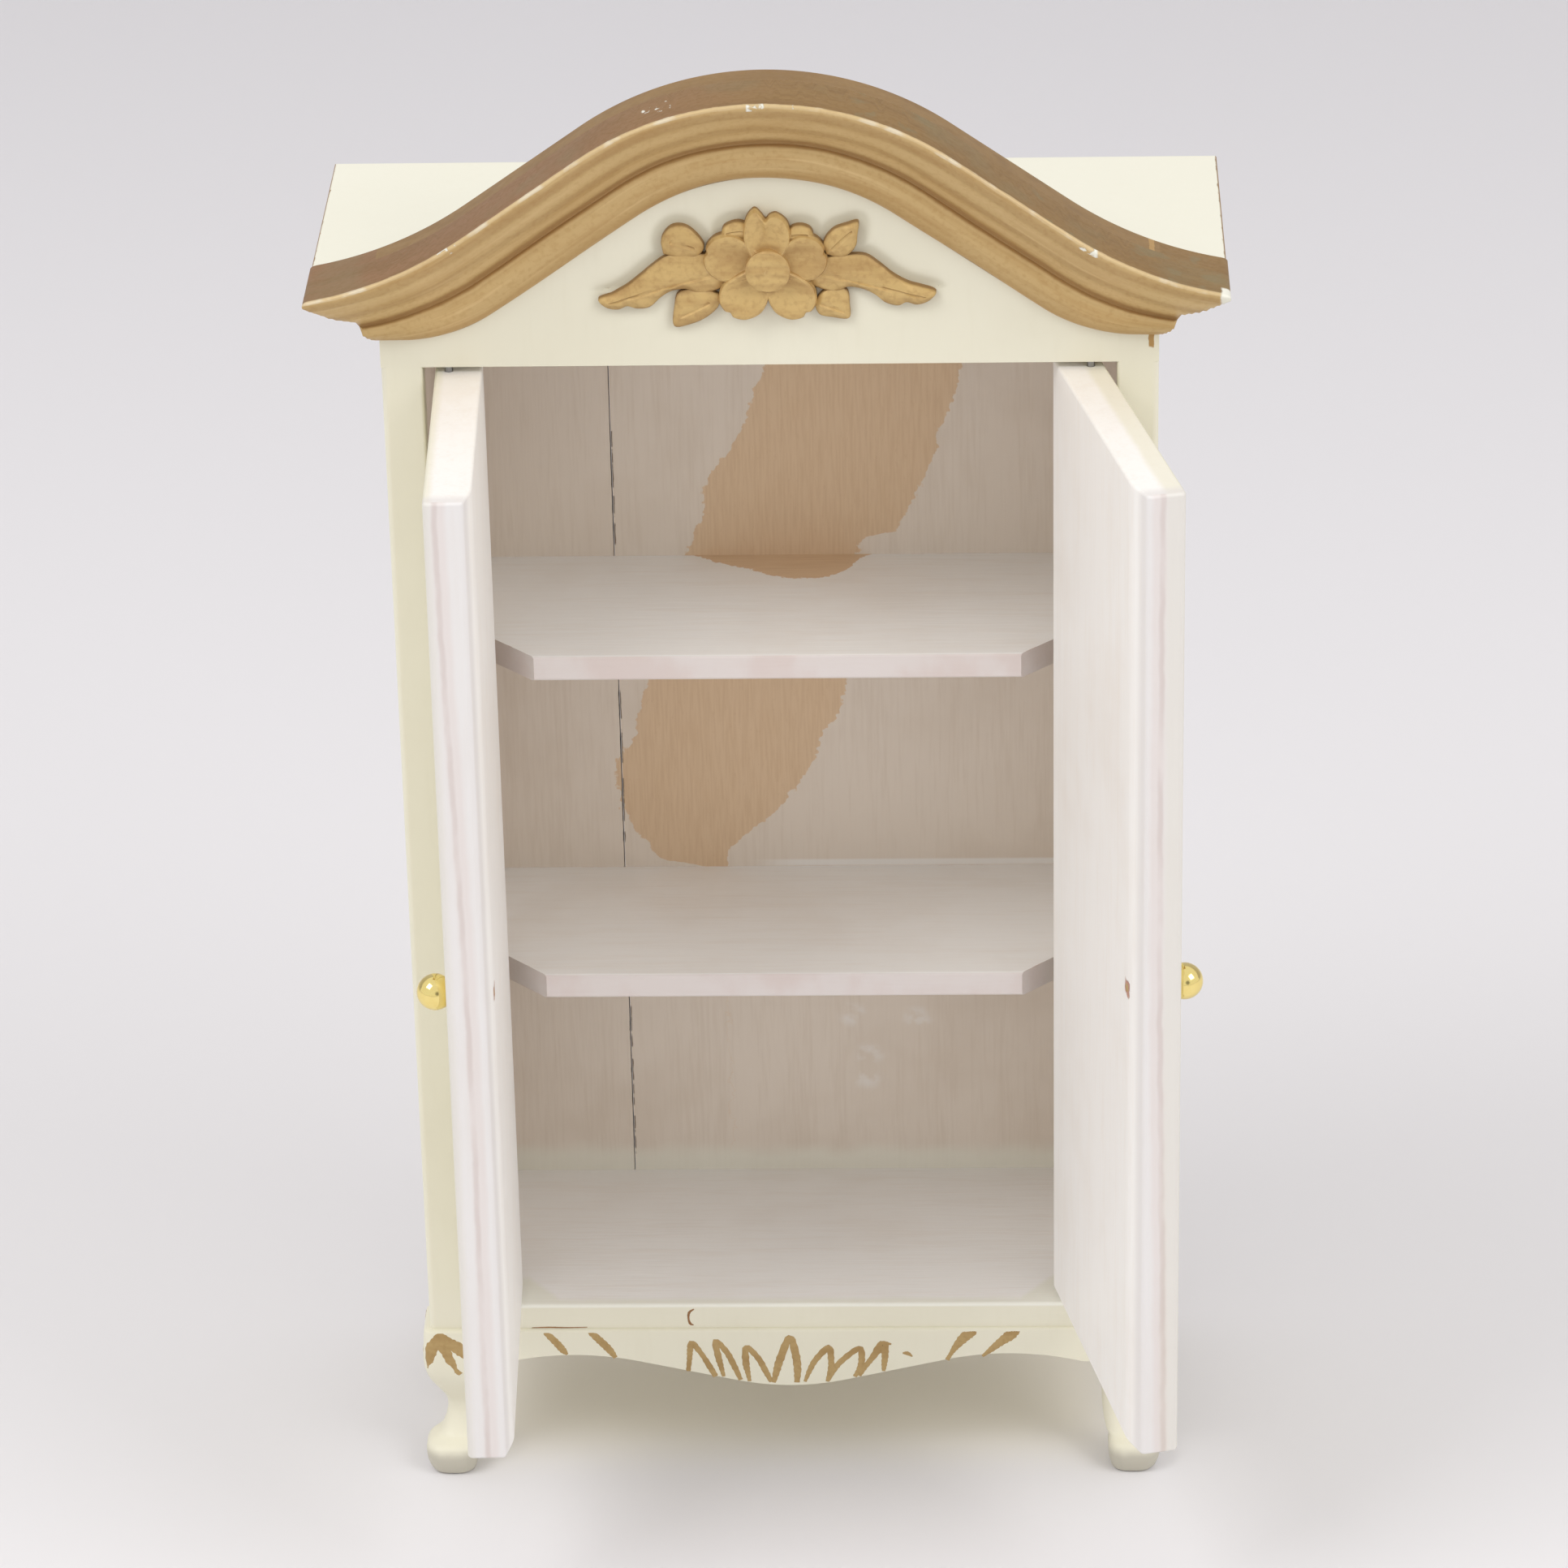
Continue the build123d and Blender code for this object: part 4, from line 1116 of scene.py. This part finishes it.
def ribbon(stroke, surface):
    """Thin closed skin of paint along a brush stroke, laid on a surface."""
    spine = smooth_curve(stroke, 6)
    way = np.gradient(spine[:, :2], axis=0)
    way /= np.maximum(np.hypot(way[:, 0], way[:, 1])[:, None], 1e-6)
    side = np.stack([-way[:, 1], way[:, 0]], axis=1)
    section = [(t, PAINT_DEPTH * (1 - t**4)) for t in (-1, -0.8, -0.4, 0, 0.4, 0.8, 1)]
    section += [(t, -3 * PAINT_DEPTH) for t in (1, 0.5, 0, -0.5, -1)]
    rings = []
    for k, ((x, z, width), (nx, nz)) in enumerate(zip(spine, side)):
        half = max(STROKE_SPREAD * width * (1 + 0.1 * math.sin(2.3 * k + x)), THINNEST) / 2
        rings.append([surface(x + nx * half * t, z + nz * half * t, lift) for t, lift in section])
    return loft(rings)


def on_apron(x, z, lift):
    ledge = apron_high[2] - 0.4
    back = max(0.0, z - ledge)
    return (x, apron_face - lift + 0.5 * back, min(z, ledge + 0.3 * back))


def leg_face(x, z, lift):
    """Place on the front of the left leg, wrapping round its outer corner beyond its side."""
    rows = np.array(LEG_SECTIONS)
    z = min(z, rows[-1][0] - 0.25)
    out, forwards, width, corner = (np.interp(z, rows[:, 0], rows[:, k]) for k in range(1, 5))
    edge = -(half_width + out)
    centre = (edge + corner, -forwards + corner)
    if x > centre[0]:
        return (x, -forwards - lift, z)
    turn = (centre[0] - x) / corner
    reach = corner + lift
    if turn < math.pi / 2:
        return (centre[0] - reach * math.sin(turn), centre[1] - reach * math.cos(turn), z)
    beyond = (turn - math.pi / 2) * corner
    return (edge - lift, centre[1] + beyond, z)


def on_rail(x, z, lift):
    return (x, floor_low[1] - lift, z)


def scratches():
    """A brown scratch on the rail and a thin stain along the ledge below it."""
    scratch = ribbon(((-11.9, 23.1, 0.15), (-12.5, 22.6, 0.3), (-12.6, 21.7, 0.22),
                      (-12.4, 21.0, 0.3), (-12.0, 20.8, 0.12)), on_rail)
    stain = ribbon(((-32.1, 20.5, 0.08), (-30.0, 20.55, 0.16), (-27.6, 20.5, 0.12),
                    (-25.2, 20.55, 0.08)), on_rail)
    piece = joined("scratches", [scratch, stain], scratch_brown, 60)
    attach(piece, "carcass")


def brushwork():
    """Strokes on the apron, and on the front and side of both knees."""
    parts = [ribbon(stroke, on_apron) for stroke in STROKES]
    for shift in (0.0, WRAP):
        for stroke in KNEE_STROKES:
            points, faces = ribbon([(x - shift, z, width) for x, z, width in stroke], leg_face)
            parts += [(points, faces), ([(-x, y, z) for x, y, z in points], faces)]
    piece = joined("gold_brushwork", parts, stroke_gold, 60)
    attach(piece, "carcass")


cornice()
spray()
pediment()
for end, facing in (("front", -1), ("rear", 1)):
    for hand, side in (("left", -1), ("right", 1)):
        leg(f"cabriole_{end}_{hand}", side, facing)
brushwork()
scratches()


# Stage

def backdrop():
    """Pale sweep: a floor that curves up into a wall behind, darker towards the back as painted shade,
    with painted bounce light under the armoire that makes it warmer there.
    """
    radius, depth, half, height = 0.5, 1.2, 8.0, 2.0
    line = [(-half, 0.0), (depth, 0.0)]
    line += [(depth + radius * math.sin(a), radius * (1 - math.cos(a)))
             for a in np.linspace(0.1, math.pi / 2, 15)]
    line.append((depth + radius, height))
    points = [(s * half / MM, y / MM, z / MM) for y, z in line for s in (-1, 1)]
    faces = [(2 * i, 2 * i + 1, 2 * i + 3, 2 * i + 2) for i in range(len(line) - 1)]
    paint = Paint("backdrop")
    cloud = paint.noise(0.004, 2.0)
    colour = paint.blend(cloud, srgb(231, 229, 231), srgb(233, 231, 233))
    # Painted shade: the floor darkens towards the back and up the wall.
    colour = paint.blend(paint.band(paint.y, 0.0, 900.0), colour, srgb(210, 208, 211))
    # Painted bounce light: a warmer, brighter floor under the armoire.
    under = paint.both(paint.near(paint.x, 0.0, 34.0, 14.0), paint.near(paint.y, 24.0, 12.0, 16.0))
    paint.finish(paint.blend(under, colour, srgb(246, 241, 231)), roughness=0.9)
    obj = new_piece("backdrop", points, faces, paint.material)


camera()
backdrop()
world_light((1.0, 0.99, 0.985), 0.83, 0.3, (0.3, -0.9, 0.25))
area_light("key", (-0.78, -0.55, 1.25), (0, 0, 0.1), 0.7, 6.2)
area_light("fill", (0.93, -0.6, 1.0), (0, 0, 0.1), 0.7, 4.9)
bpy.context.scene.view_settings.view_transform = "Standard"
